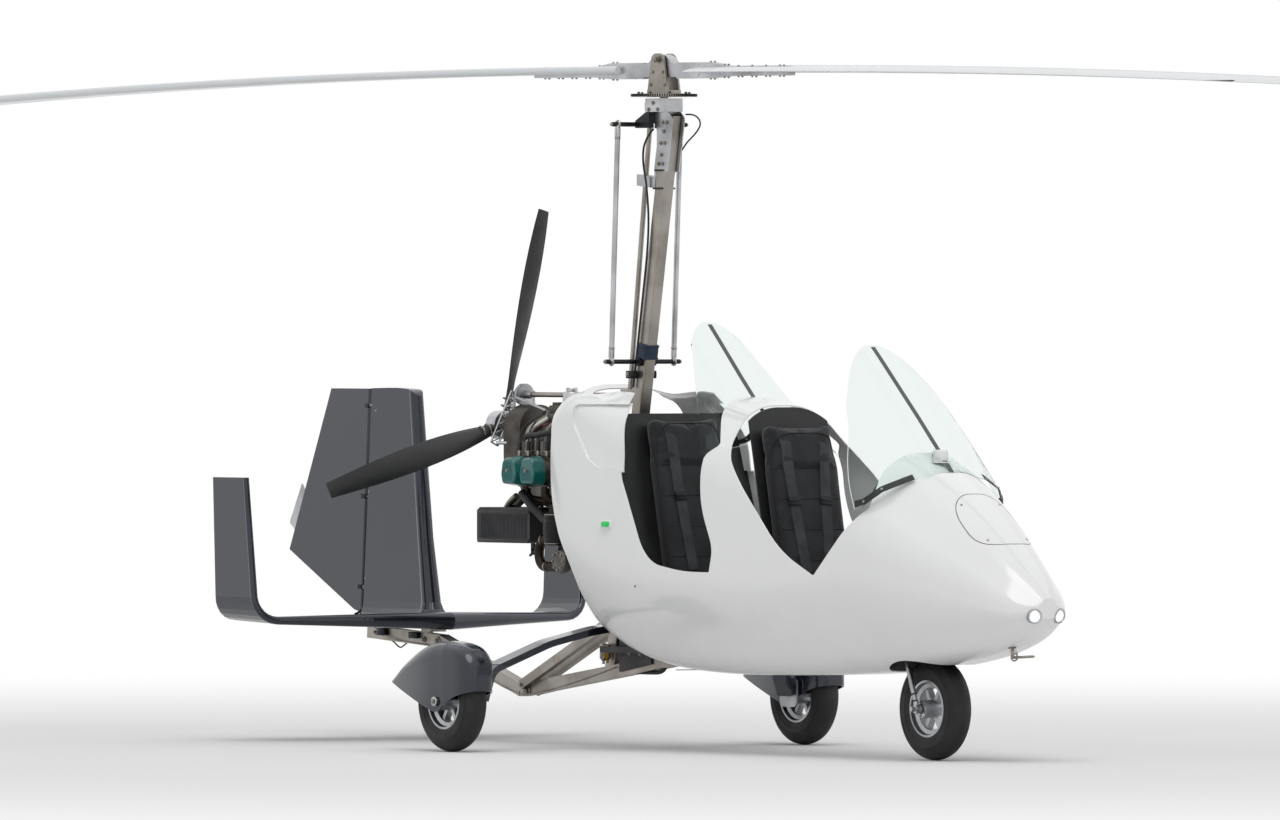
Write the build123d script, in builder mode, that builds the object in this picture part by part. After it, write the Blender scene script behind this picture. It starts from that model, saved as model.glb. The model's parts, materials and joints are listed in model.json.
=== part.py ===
from build123d import *
from math import atan2, cos, degrees, hypot, radians, sin, sqrt, tan
import os

os.makedirs("parts", exist_ok=True)

# Open tandem gyrocopter, standing on its three wheels, in millimetres.
# +X points to the nose, +Y to the left side and +Z up. The origin is on the ground,
# straight below the rotor shaft.

# Driving dimensions

wall = 4.0
panel = 6.0
seat_gap = 0.3
bearing_gap = 0.05
moving_gap = 6.0

tyre_radius = 195.0
tyre_width = 100.0
rim_radius = 108.0
rim_width = 84.0
rim_bore = 100.0
hub_radius = 34.0
spoke_count = 6
axle_radius = 10.0

main_wheel_x = -230.0
main_wheel_y = 836.0
nose_wheel_x = 1768.0

rotor_radius = 4200.0
rotor_turned = 18.0
blade_chord = 200.0
blade_depth = 25.0
blade_droop = 150.0
blade_pitch = 3.0
blade_root = 190.0
teeter_z = 2668.0
ring_gear_z = 2530.0
ring_gear_radius = 125.0

prop_x = -1090.0
prop_z = 1249.0
prop_radius = 865.0
prop_first_blade = 77.0

mast_top = (53.0, 2454.0)
mast_foot = (-336.8, 300.0)
mast_depth = 60.0
mast_width = 50.0
tube_wall = 3.0

keel_height = 50.0
keel_width = 50.0

fork_rake = 20.0
fork_tube = 10.0
fork_half_width = 85.0

rod_radius = 10.5
rod_y = 148.0

# Small helpers


def write(piece, name):
    """Label a finished piece and write it to its own file."""
    piece.part.label = name
    export_step(piece.part, f"parts/{name}.step")


def soft_radii(points, shares):
    """A fillet radius for each corner of a closed outline, as a share of its shorter side."""
    radii = []
    for index, share in enumerate(shares):
        here = Vector(*points[index])
        back = Vector(*points[index - 1]) - here
        ahead = Vector(*points[(index + 1) % len(points)]) - here
        turn = radians(180 - back.get_angle(ahead))
        radii.append(share * min(back.length, ahead.length) / tan(turn / 2))
    return radii


def soft_outline(points, shares):
    """A closed outline with rounded corners, drawn on the sketch being made."""
    with BuildLine() as outline:
        FilletPolyline(*points, radius=soft_radii(points, shares), close=True)
    make_face(outline.line.edges())


def rod(start, end, radius, hole=0.0):
    """A straight round bar or tube from start to end, joined to the piece being made."""
    way = Vector(*end) - Vector(*start)
    with BuildSketch(Plane(origin=start, z_dir=way)) as section:
        Circle(radius)
        if hole:
            Circle(hole, mode=Mode.SUBTRACT)
    extrude(section.sketch, amount=way.length)


def side_block(outline, shares, inner_y, outer_y):
    """A plate drawn in side view, from inner_y to outer_y, joined to the piece being made."""
    with BuildSketch(Plane.XZ.offset(-inner_y)) as section:
        soft_outline(outline, shares)
    extrude(section.sketch, amount=inner_y - outer_y)


def side_prism(outline, shares, half_width):
    """A solid drawn in side view, as far on both sides of the middle."""
    with BuildPart() as prism:
        with BuildSketch(Plane.XZ):
            soft_outline(outline, shares)
        extrude(amount=half_width, both=True)
    return prism.part


# Pod: closed form that all its panels are cut from

# Each row is one cross-section, from the tail to the nose. Columns: x, belly z, belly half
# width, flank z, flank half width, shoulder z, shoulder half width, top z, top half width.
POD_SECTIONS = [
    (-330, 500, 180, 720, 330, 1285, 312, 1425, 130),
    (0, 385, 205, 640, 354, 1290, 306, 1432, 130),
    (400, 314, 215, 580, 366, 1195, 326, 1404, 140),
    (850, 306, 220, 560, 368, 1110, 333, 1326, 150),
    (1350, 317, 215, 570, 364, 1000, 340, 1265, 150),
    (1750, 344, 180, 580, 345, 900, 342, 1145, 140),
    (2050, 380, 135, 560, 268, 765, 266, 985, 105),
    (2280, 428, 92, 552, 190, 668, 182, 815, 76),
    (2420, 486, 55, 556, 128, 606, 120, 690, 48),
    (2480, 545, 18, 570, 48, 592, 46, 622, 18),
]


def pod_form(inset):
    """The closed pod, made smaller all round by the inset."""
    last = len(POD_SECTIONS) - 1
    with BuildPart() as form:
        for index, row in enumerate(POD_SECTIONS):
            x, belly_z, belly_y, flank_z, flank_y, shoulder_z, shoulder_y, top_z, top_y = row
            half = [
                (belly_y - inset / 2, belly_z + inset),
                (flank_y - inset, flank_z),
                (shoulder_y - inset, shoulder_z),
                (top_y - inset / 2, top_z - inset),
            ]
            corners = [(-half[0][0], half[0][1]), half[0], (half[1][0], half[1][1])]
            corners += [(half[2][0], half[2][1]), half[3], (-half[3][0], half[3][1])]
            corners += [(-half[2][0], half[2][1]), (-half[1][0], half[1][1])]
            shares = [0.42, 0.42, 0.45, 0.3, 0.4, 0.4, 0.3, 0.45]
            station = x - inset * (index == last)
            with BuildSketch(Plane.YZ.offset(station)):
                soft_outline(corners, shares)
        loft()
    return form.part


pod_outside = pod_form(0.0)
pod_inside = pod_form(wall)
pod_liner = pod_form(wall + seat_gap)

pod_half_width = 400.0
sill_z = 700.0
pod_roof = 1650.0

# Side outlines of what is cut away: the cockpit's edge and the pod's open rear
cockpit_edge = [
    (30, pod_roof),
    (66, 1372),
    (152, 1180),
    (158, 1060),
    (372, 735),
    (640, sill_z),
    (1480, sill_z),
    (1750, 955),
    (1905, 1130),
    (1905, pod_roof),
]
cockpit_shares = [0, 0.3, 0.4, 0.3, 0.4, 0.3, 0, 0, 0, 0]
rear_edge = [
    (-420, pod_roof),
    (-300, pod_roof),
    (-300, 1010),
    (-125, 700),
    (-100, 470),
    (10, 380),
    (30, 250),
    (-420, 250),
]
rear_shares = [0, 0, 0.4, 0.3, 0.3, 0, 0, 0]

# Nose wheel and fork, turning about an axis that leans back

nose_hub = Vector(nose_wheel_x, 0, tyre_radius)
steer_way = Vector(-sin(radians(fork_rake)), 0, cos(radians(fork_rake)))
crown_low = tyre_radius + 18
crown_high = crown_low + 18
stem_top = 400.0
stem_radius = 14.0
head_low = 312.0
head_high = 392.0
well_radius = 176.0
well_x = 1766.0
well_top = 478.0


def on_steer(distance, y=0.0):
    """A point on the fork, that far above the hub along the steering axis."""
    return nose_hub + steer_way * distance + Vector(0, y, 0)


# Fuselage shell: nose, flanks, belly and rear fairing in one moulding

keel_slot_x = (-60, 330)
mast_notch = (-250, 120, 188)
recess_depth = 14.0
recess_edge = [(-150, 1336), (-150, 1268), (-52, 1124), (10, 1090), (320, 1068), (320, 1336)]
recess_shares = [0.3, 0.3, 0.3, 0.3, 0, 0]


def recessed(outer, lower, grown):
    """A pod form whose flanks step in to a lower form inside the recess, its edge grown a little."""
    edge = [(x - grown, z) if x < 0 else (x, z) for x, z in recess_edge]
    edge = [(x, z + grown) if z > 1300 else (x, z - grown) for x, z in edge]
    region = side_prism(edge, recess_shares, pod_half_width)
    with BuildPart() as form:
        add(outer)
        add(region, mode=Mode.SUBTRACT)
        with BuildPart(mode=Mode.PRIVATE) as pocket:
            add(lower)
            add(region, mode=Mode.INTERSECT)
        add(pocket.part)
    return form.part


with BuildPart() as fuselage_shell:
    add(recessed(pod_outside, pod_form(recess_depth), 0.0))
    add(recessed(pod_inside, pod_form(recess_depth + wall), wall), mode=Mode.SUBTRACT)
    add(side_prism(cockpit_edge, cockpit_shares, pod_half_width), mode=Mode.SUBTRACT)
    add(side_prism(rear_edge, rear_shares, pod_half_width), mode=Mode.SUBTRACT)
    # Round well in the belly for the nose wheel
    with BuildSketch(Plane.XY.offset(200)):
        with Locations((well_x, 0)):
            Circle(well_radius - wall)
    extrude(amount=300, mode=Mode.SUBTRACT)
    # Slot where the keel comes in from behind
    with BuildSketch(Plane.XY.offset(250)):
        with Locations(((keel_slot_x[0] + keel_slot_x[1]) / 2, 0)):
            Rectangle(keel_slot_x[1] - keel_slot_x[0], keel_width + 12)
    extrude(amount=180, mode=Mode.SUBTRACT)
    # Notch in the fairing's top for the mast and the control rods
    with BuildSketch(Plane.XY.offset(1240)):
        with Locations(((mast_notch[0] + mast_notch[1]) / 2, 0)):
            RectangleRounded(mast_notch[1] - mast_notch[0], 2 * mast_notch[2], 60)
    extrude(amount=300, mode=Mode.SUBTRACT)
write(fuselage_shell, "fuselage_shell")

with BuildPart() as nose_wheel_well:
    with BuildSketch(Plane.XY.offset(250)):
        with Locations((well_x, 0)):
            Circle(well_radius)
    extrude(amount=well_top - 250)
    with BuildSketch(Plane.XY.offset(250)):
        with Locations((well_x, 0)):
            Circle(well_radius - wall)
    extrude(amount=well_top - wall - 250, mode=Mode.SUBTRACT)
    with BuildSketch(Plane(origin=on_steer(head_low - 60), z_dir=steer_way)):
        Circle(stem_radius + moving_gap + 4)
    extrude(amount=100, mode=Mode.SUBTRACT)
    add(pod_inside, mode=Mode.INTERSECT)
write(nose_wheel_well, "nose_wheel_well")

# Middle fairing: the hoop behind the front seat, joined to the shell along the sill

hoop_outline = [
    (560, 1430),
    (608, 1350),
    (769, 1186),
    (712, 1146),
    (722, 960),
    (816, 790),
    (800, sill_z),
    (1462, sill_z),
    (1240, 790),
    (868, 1128),
    (824, 1190),
    (778, 1345),
    (765, 1430),
]
hoop_shares = [0, 0.1, 0.2, 0.3, 0.4, 0.4, 0, 0, 0.45, 0.3, 0.2, 0.2, 0]

with BuildPart() as middle_fairing:
    add(pod_outside)
    add(pod_inside, mode=Mode.SUBTRACT)
    add(side_prism(hoop_outline, hoop_shares, pod_half_width), mode=Mode.INTERSECT)
write(middle_fairing, "middle_fairing")

# Keel frame: rectangular tube from the nose gear to the tail, with its bend below the engine

keel_front = (1560.0, 364.0)
keel_entry = (190.0, 364.0)
keel_bend = (-940.0, 212.0)
keel_joint = (-1505.0, 394.0)
keel_tail = (-2000.0, 424.0)


def keel_tube(points):
    """A tube that follows points in side view, closed at both ends."""
    with BuildSketch(Plane.XZ) as centre:
        with BuildLine() as way:
            Polyline(*points)
        trace(way.line, line_width=keel_height)
    with BuildSketch(Plane.XZ) as hollow:
        with BuildLine() as inner_way:
            Polyline(*points)
        trace(inner_way.line, line_width=keel_height - 2 * tube_wall)
    extrude(centre.sketch, amount=keel_width / 2, both=True)
    extrude(hollow.sketch, amount=keel_width / 2 - tube_wall, both=True, mode=Mode.SUBTRACT)


with BuildPart() as keel:
    keel_tube([keel_front, keel_entry, keel_bend])
write(keel, "keel")

# Cockpit floor, bulkheads and instrument panel, fitted inside the shell

floor_z = 404.0
floor_rear_x = 300.0
floor_front_x = 1462.0


def inside_pod(outline, shares, half_width):
    """A panel drawn in side view and trimmed to the pod's inner skin."""
    with BuildPart() as panel_part:
        add(side_prism(outline, shares, half_width))
        add(pod_liner, mode=Mode.INTERSECT)
    return panel_part.part


def band(points, thickness):
    """Corners of a bar of even thickness that follows two points in side view."""
    (x1, z1), (x2, z2) = points
    length = hypot(x2 - x1, z2 - z1)
    across = ((z1 - z2) / length * thickness / 2, (x2 - x1) / length * thickness / 2)
    return [
        (x1 - across[0], z1 - across[1]),
        (x2 - across[0], z2 - across[1]),
        (x2 + across[0], z2 + across[1]),
        (x1 + across[0], z1 + across[1]),
    ]


sharp = [0, 0, 0, 0]

with BuildPart() as cockpit_floor:
    floor = [
        (floor_rear_x, floor_z),
        (floor_front_x, floor_z),
        (floor_front_x, floor_z + panel),
        (floor_rear_x, floor_z + panel),
    ]
    add(inside_pod(floor, sharp, pod_half_width))
write(cockpit_floor, "cockpit_floor")

bulkhead_foot = (floor_rear_x - 20, floor_z - 40)
bulkhead_head = (62.0, 1300.0)

with BuildPart() as rear_bulkhead:
    add(inside_pod(band([bulkhead_foot, bulkhead_head], panel), sharp, pod_half_width))
    with BuildSketch(Plane.YZ.offset(bulkhead_foot[0] - 60)):
        with Locations((0, keel_entry[1])):
            Rectangle(keel_width + 2 * seat_gap, keel_height + 2 * seat_gap)
    extrude(amount=120, mode=Mode.SUBTRACT)
    add(fuselage_shell.part, mode=Mode.SUBTRACT)
    wall_inside = rear_bulkhead.solids().sort_by(SortBy.VOLUME)[-1]
    add(wall_inside, mode=Mode.REPLACE)
write(rear_bulkhead, "rear_bulkhead")

# Cowl over the instruments: the pod's skin carried on behind the seam below the windshield
cowl_outline = [(1751, 954), (1906, 1129), (1906, 1300), (1722, 1300), (1706, 1090)]

with BuildPart() as panel_cowl:
    add(pod_outside)
    add(pod_inside, mode=Mode.SUBTRACT)
    add(side_prism(cowl_outline, [0, 0, 0, 0, 0.3], pod_half_width), mode=Mode.INTERSECT)
    add(fuselage_shell.part, mode=Mode.SUBTRACT)
write(panel_cowl, "panel_cowl")

panel_foot = (1712.0, 700.0)
panel_head = (1672.0, 1010.0)
panel_half_width = 230.0

with BuildPart() as instrument_panel:
    dash = [panel_foot, (1850, 790), (1912, 1000), (1908, 1200), (1888, 1200), panel_head]
    add(inside_pod(dash, [0.1, 0.1, 0, 0, 0, 0.1], panel_half_width))
write(instrument_panel, "instrument_panel")

# Seats: plain forms of the cushions and backs, on the floor and against their shells

seat_bottom = floor_z + panel + seat_gap
front_shell_foot = (1010.0, seat_bottom - 4)
front_shell_head = (800.0, 1352.0)
front_shell_half_width = 185.0

with BuildPart() as front_seat_shell:
    add(inside_pod(band([front_shell_foot, front_shell_head], panel), sharp, front_shell_half_width))
    add(cockpit_floor.part, mode=Mode.SUBTRACT)
write(front_seat_shell, "front_seat_shell")


def cushion(name, x_front, x_back, z_top, rise, half_width):
    """A seat cushion on the floor, higher at its front edge."""
    with BuildPart() as pad:
        outline = [(x_back, seat_bottom), (x_front, seat_bottom), (x_front, z_top + rise), (x_back, z_top)]
        side_block(outline, [0.1, 0.1, 0.35, 0.2], -half_width, half_width)
        ends = pad.faces().filter_by(Axis.Y)
        fillet(ends.edges(), radius=18)
    write(pad, name)


def backrest(name, shell, low, high, depth, half_width):
    """A seat back in front of its shell, between two heights."""
    (foot_x, foot_z), (head_x, head_z) = shell
    lean = (head_x - foot_x) / (head_z - foot_z)
    ahead = (depth / 2 + panel / 2 + seat_gap) * hypot(1, lean)
    ends_at = [(foot_x + lean * (z - foot_z) + ahead, z) for z in (low, high)]
    with BuildPart() as pad:
        side_block(band(ends_at, depth), [0.15, 0.3, 0.4, 0.15], -half_width, half_width)
        ends = pad.faces().filter_by(Axis.Y)
        fillet(ends.edges(), radius=18)
    write(pad, name)


cushion("front_seat_cushion", 1400, 1088, 520, 40, 190)
backrest("front_seat_back", (front_shell_foot, front_shell_head), 446, 1270, 70, 165)
cushion("rear_seat_cushion", 660, 372, 560, 40, 200)
backrest("rear_seat_back", (bulkhead_foot, bulkhead_head), 446, 1290, 70, 170)

# Sticks, pedals and throttle levers

stick_radius = 9.0
stick_height = 332.0
pedal_radius = 7.0
pedal_height = 108.0
pedal_half_width = 42.0
lever_y = 250.0
lever_box_half = 12.0
foot_dip = 4.0

# Columns: stick x, pedal x, pedal y, height that the pedals stand on, throttle box x
CONTROL_PLACES = [(1432, 1830, 96, well_top, 1360), (690, 1075, 236, seat_bottom, 610)]

with BuildPart() as cockpit_controls:
    for x, pedal_x, pedal_y, pedal_z, lever_x in CONTROL_PLACES:
        boot_top = seat_bottom + 40
        knee = (x - 24, 0, seat_bottom + stick_height * 0.7)
        rod((x, 0, seat_bottom), (x, 0, boot_top), 22)
        rod((x, 0, boot_top - 10), knee, stick_radius)
        rod((knee[0], 0, knee[2] - 8), (x - 34, 0, seat_bottom + stick_height), stick_radius + 8)
        for side in (-1, 1):
            top = (pedal_x + 20, side * pedal_y, pedal_z + pedal_height)
            rod((pedal_x, side * pedal_y, pedal_z - foot_dip), top, pedal_radius)
            inner = (top[0], side * (pedal_y - pedal_half_width), top[2])
            outer = (top[0], side * (pedal_y + pedal_half_width), top[2])
            rod(inner, outer, pedal_radius + 4)
        box = [(0, seat_bottom), (90, seat_bottom), (90, 500), (0, 520)]
        box = [(lever_x + ahead, z) for ahead, z in box]
        side_block(box, [0.2, 0.2, 0.2, 0.2], lever_y - lever_box_half, lever_y + lever_box_half)
        rod((lever_x + 40, lever_y, 500), (lever_x + 70, lever_y, 640), stick_radius - 1)
        rod((lever_x + 66, lever_y, 620), (lever_x + 78, lever_y, 676), stick_radius + 6)
    for support in (cockpit_floor, nose_wheel_well, fuselage_shell):
        add(support.part, mode=Mode.SUBTRACT)
write(cockpit_controls, "cockpit_controls")

# Mast: one square tube from the keel to the rotor head

mast_way = Vector(mast_top[0] - mast_foot[0], 0, mast_top[1] - mast_foot[1]).normalized()
mast_length = hypot(mast_top[0] - mast_foot[0], mast_top[1] - mast_foot[1])
mast_plane = Plane(origin=(mast_foot[0], 0, mast_foot[1]), x_dir=(0, 1, 0), z_dir=mast_way)


def mast_x(z):
    """The mast's middle at a height."""
    return mast_foot[0] + (z - mast_foot[1]) * mast_way.X / mast_way.Z


def keel_top(x):
    """The top of the keel between its bend and the pod, at a place along it."""
    rise = (keel_entry[1] - keel_bend[1]) / (keel_entry[0] - keel_bend[0])
    return keel_bend[1] + (x - keel_bend[0]) * rise + keel_height / 2 * hypot(1, rise)


with BuildPart() as mast:
    with BuildSketch(mast_plane):
        RectangleRounded(mast_width, mast_depth, 6)
        RectangleRounded(mast_width - 2 * tube_wall, mast_depth - 2 * tube_wall, 3, mode=Mode.SUBTRACT)
    extrude(amount=mast_length)
    below = [(-600, 0), (0, 0), (0, keel_top(0)), (-600, keel_top(-600))]
    add(side_prism(below, sharp, mast_width), mode=Mode.SUBTRACT)
write(mast, "mast")

with BuildPart() as mast_filled:
    with BuildSketch(mast_plane):
        Rectangle(mast_width, mast_depth)
    extrude(amount=mast_length)
solid_mast = mast_filled.part

# Rotor head: bearing block on the mast's top

head_block_half = (62.0, 52.0)
head_block_low = 2466.0
head_block_high = ring_gear_z - 6 - moving_gap
shaft_radius = 17.0

with BuildPart() as head_block:
    with BuildSketch(Plane.XY.offset(head_block_low)):
        RectangleRounded(2 * head_block_half[0], 2 * head_block_half[1], 14)
    extrude(amount=head_block_high - head_block_low)
    with BuildSketch(Plane.XY.offset(head_block_low - 1)):
        Circle(shaft_radius + bearing_gap)
    extrude(amount=200, mode=Mode.SUBTRACT)
write(head_block, "head_block")


# Rotor shaft: ring gear, tower plates and teeter bolt, turned to the blades' direction

turn = radians(rotor_turned)
along = Vector(cos(turn), sin(turn), 0)
across = Vector(-sin(turn), cos(turn), 0)
tower_gap = 66.0
tower_plate = 10.0
bolt_radius = 8.0
hub_width = 54.0
hub_height = 50.0
hub_half_length = 240.0
hub_z = 2625.0
strap_reach = 610.0
strap_width = 50.0
strap_thick = 6.0


def tower_plane(offset):
    """The plane of a tower plate: its own x along the blades, its own y up."""
    return Plane(origin=(across * offset), x_dir=along, z_dir=(across * -1))


with BuildPart() as rotor_tower:
    with BuildSketch(Plane.XY.offset(ring_gear_z - 6)):
        Circle(ring_gear_radius)
    extrude(amount=12)
    with BuildSketch(Plane.XY.offset(ring_gear_z + 6)):
        with Locations(Location((0, 0), rotor_turned)):
            RectangleRounded(110, tower_gap + 2 * tower_plate, 10)
    extrude(amount=14)
    with BuildSketch(Plane.XY.offset(head_block_low + 4)):
        Circle(shaft_radius)
    extrude(amount=ring_gear_z - head_block_low - 8)
    for side in (-1, 1):
        with BuildSketch(tower_plane(side * (tower_gap + tower_plate) / 2)):
            soft_outline([(-48, 2548), (48, 2548), (27, 2692), (-27, 2692)], [0, 0, 0.4, 0.4])
        extrude(amount=tower_plate / 2, both=True)
    reach = tower_gap / 2 + tower_plate + 14
    start = across * -reach + Vector(0, 0, teeter_z)
    end = across * reach + Vector(0, 0, teeter_z)
    rod(start, end, bolt_radius)
write(rotor_tower, "rotor_tower")

with BuildPart() as hub_bar:
    with BuildSketch(tower_plane(0)):
        soft_outline(
            [
                (-hub_half_length, hub_z - 8),
                (-blade_root, hub_z - 8),
                (8 - blade_root, hub_z - hub_height / 2),
                (blade_root - 8, hub_z - hub_height / 2),
                (blade_root, hub_z - 8),
                (hub_half_length, hub_z - 8),
                (hub_half_length, hub_z + 8),
                (blade_root, hub_z + 8),
                (blade_root - 8, hub_z + hub_height / 2),
                (60, hub_z + hub_height / 2),
                (24, teeter_z + 20),
                (-24, teeter_z + 20),
                (-60, hub_z + hub_height / 2),
                (8 - blade_root, hub_z + hub_height / 2),
                (-blade_root, hub_z + 8),
                (-hub_half_length, hub_z + 8),
            ],
            [0, 0, 0, 0, 0, 0, 0, 0, 0, 0.3, 0.4, 0.4, 0.3, 0, 0, 0],
        )
    extrude(amount=hub_width / 2, both=True)
    with BuildSketch(tower_plane(0).offset(-hub_width)):
        with Locations((0, teeter_z)):
            Circle(bolt_radius + bearing_gap)
    extrude(amount=2 * hub_width, mode=Mode.SUBTRACT)
write(hub_bar, "hub_bar")

# Rotor blades: aerofoil from root to tip, drooping a little

blade_lift_z = hub_z


def aerofoil(chord, depth, lead):
    """A blade's section: round nose ahead of the middle, flat tail behind it."""
    tail = lead - chord
    with BuildLine() as outline:
        ThreePointArc((lead - depth, -depth * 0.42), (lead, 0), (lead - depth, depth * 0.5))
        ThreePointArc((lead - depth, depth * 0.5), (lead - chord * 0.45, depth * 0.55), (tail, 1.0))
        Line((tail, 1.0), (tail, -1.0))
        Line((tail, -1.0), (lead - depth, -depth * 0.42))
    make_face(outline.line.edges())


middle_drop = 0.22

# Columns: distance from the shaft, drop
BLADE_SECTIONS = [(blade_root, 0.0), (rotor_radius / 2, blade_droop * middle_drop), (rotor_radius, blade_droop)]


def blade(side):
    """One rotor blade, on the side of the hub given by the sign."""
    sections = []
    for distance, drop in BLADE_SECTIONS:
        origin = along * (side * distance) + Vector(0, 0, blade_lift_z - drop)
        chord_way = (across * side).rotate(Axis((0, 0, 0), along * side), blade_pitch)
        plane = Plane(origin=origin, x_dir=chord_way, z_dir=(along * side))
        with BuildSketch(plane) as section:
            aerofoil(blade_chord, blade_depth, blade_chord * 0.3)
        sections.append(section.sketch)
    loft(sections)


with BuildPart() as rotor_blades:
    blade(1)
    blade(-1)
    add(hub_bar.part, mode=Mode.SUBTRACT)
write(rotor_blades, "rotor_blades")

# Straps above and below each blade root, from the hub bar out to the blade's first bolts
with BuildPart() as blade_straps:
    for side in (-1, 1):
        for level in (-1, 1):
            far = side * strap_reach
            near = side * 78.0
            inner_z = hub_z + level * 6
            outer_z = hub_z + level * (hub_height / 2 + strap_thick)
            strap_drop = blade_droop * middle_drop * strap_reach / rotor_radius
            end_z = hub_z + level * (blade_depth / 2 + strap_thick) - strap_drop
            step = side * (hub_half_length + 90)
            strap = [
                (near, inner_z),
                (near, outer_z),
                (side * hub_half_length, outer_z),
                (step, end_z),
                (far, end_z),
                (far, inner_z),
            ]
            with BuildSketch(tower_plane(0)):
                with BuildLine():
                    Polyline(*strap, close=True)
                make_face()
            extrude(amount=strap_width / 2, both=True)
    add(hub_bar.part, mode=Mode.SUBTRACT)
    add(rotor_blades.part, mode=Mode.SUBTRACT)
write(blade_straps, "blade_straps")

# Control rods at both sides of the mast, with the cross bars that carry them

rod_high_z = 2418.0
rod_low_z = 1500.0
rod_behind_mast = 146.0
bar_radius = 9.0
low_rod_behind_mast = 24.0
bar_end = 14.0
mast_clearance = 40.0
arm_thick = 24.0

with BuildPart() as control_rods:
    for side in (-1, 1):
        high = (mast_x(rod_high_z) - rod_behind_mast, side * rod_y, rod_high_z)
        low = (mast_x(rod_low_z) - low_rod_behind_mast, side * rod_y, rod_low_z)
        rod(high, low, rod_radius)
write(control_rods, "control_rods")

with BuildPart() as control_bars:
    reach = rod_y + rod_radius + bar_end
    low_x = mast_x(rod_low_z) - low_rod_behind_mast
    rod((low_x, -reach, rod_low_z), (low_x, reach, rod_low_z), bar_radius)
    x = mast_x(rod_high_z) - rod_behind_mast
    arm = [
        (x - 12, rod_high_z - 14),
        (-20, rod_high_z - 14),
        (-20, head_block_low),
        (-40, head_block_low),
        (x - 12, rod_high_z + 14),
    ]
    for side in (-1, 1):
        near, far = sorted((side * (mast_clearance - 6), side * (mast_clearance - 6 + arm_thick)))
        rod((x, side * mast_clearance, rod_high_z), (x, side * reach, rod_high_z), bar_radius)
        side_block(arm, [0] * 5, near, far)
    x = mast_x(rod_low_z)
    rod((x, -mast_clearance, rod_low_z), (x, mast_clearance, rod_low_z), bar_radius + 8)
    add(mast.part, mode=Mode.SUBTRACT)
    add(control_rods.part, mode=Mode.SUBTRACT)
write(control_bars, "control_bars")

# Drive shaft behind the mast, from the gearbox in the rear fairing up to the ring gear

drive_radius = 10.0
drive_top = (-88.0, 2462.0)
drive_low = (-226.0, 1392.0)
drive_box = (-228.0, 1362.0)
belt_shaft_x = -884.0
belt_shaft_z = 1369.0
pinion_radius = 24.0
gearbox_size = (96, 46, 62)

with BuildPart() as prerotator_shaft:
    rod((drive_low[0], 0, drive_low[1]), (drive_top[0], 0, drive_top[1]), drive_radius)
    rod((drive_top[0], 0, drive_top[1] - 40), (drive_top[0], 0, ring_gear_z - 12), drive_radius + 7)
    with Locations((drive_top[0], 0, ring_gear_z - 44)):
        Cylinder(radius=pinion_radius, height=34)
    with Locations((drive_box[0] + 16, 0, drive_box[1])):
        Box(*gearbox_size)
    rod((drive_box[0], 0, belt_shaft_z), (belt_shaft_x, 0, belt_shaft_z), drive_radius)
    add(solid_mast, mode=Mode.SUBTRACT)
write(prerotator_shaft, "prerotator_shaft")

# Cheek plates at the mast's top, the drive shaft's bracket and the cylinder behind the mast

clamp_z = 2174.0
cylinder_y = -12.0

with BuildPart() as mast_cheeks:
    cheek = [(-8, 2240), (62, 2232), (100, 2440), (70, head_block_low), (-50, head_block_low), (-6, 2400)]
    inner = mast_width / 2
    side_block(cheek, [0.1, 0.1, 0.2, 0, 0, 0.2], inner, inner + 5)
    side_block(cheek, [0.1, 0.1, 0.2, 0, 0, 0.2], -inner - 5, -inner)
    lean = (drive_top[0] - drive_low[0]) / (drive_top[1] - drive_low[1])
    back = drive_low[0] + (clamp_z - drive_low[1]) * lean - 22
    front = mast_x(clamp_z)
    bracket = [(back, clamp_z + 8), (back, clamp_z + 52), (front, clamp_z + 38), (front, clamp_z - 6)]
    side_block(bracket, sharp, -inner, inner)
    cylinder = [Vector(mast_x(z) - away, cylinder_y, z) for z, away in ((2236, 45), (2370, 44), (2464, 40))]
    rod(cylinder[0], cylinder[1], 11)
    rod(cylinder[1], cylinder[2], 5)
    rod((mast_x(2222) - 46, cylinder_y, 2240), (mast_x(2222) - 46, cylinder_y, 2200), 7)
    add(solid_mast, mode=Mode.SUBTRACT)
    add(prerotator_shaft.part, mode=Mode.SUBTRACT)
    add(head_block.part, mode=Mode.SUBTRACT)
write(mast_cheeks, "mast_cheeks")

# Nose gear: carrier at the keel's front end, fork and wheel

with BuildPart() as nose_gear_carrier:
    half = keel_width / 2
    gusset = [(1470, 344), (1576, 344), (1578, 486), (1668, 486), (1640, 570), (1560, 570), (1470, 388)]
    side_block(gusset, [0] * 7, half, half + 5)
    side_block(gusset, [0] * 7, -half - 5, -half)
    rod(on_steer(head_low), on_steer(head_high), half)
    with BuildSketch(Plane(origin=on_steer(head_low - 20), z_dir=steer_way)):
        Circle(stem_radius + bearing_gap)
    extrude(amount=140, mode=Mode.SUBTRACT)
write(nose_gear_carrier, "nose_gear_carrier")

nose_axle_radius = 8.0
fork_eye_y = fork_half_width + fork_tube + 1
tow_pin_radius = 9.0
tow_pin_y = fork_eye_y + 18

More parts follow.
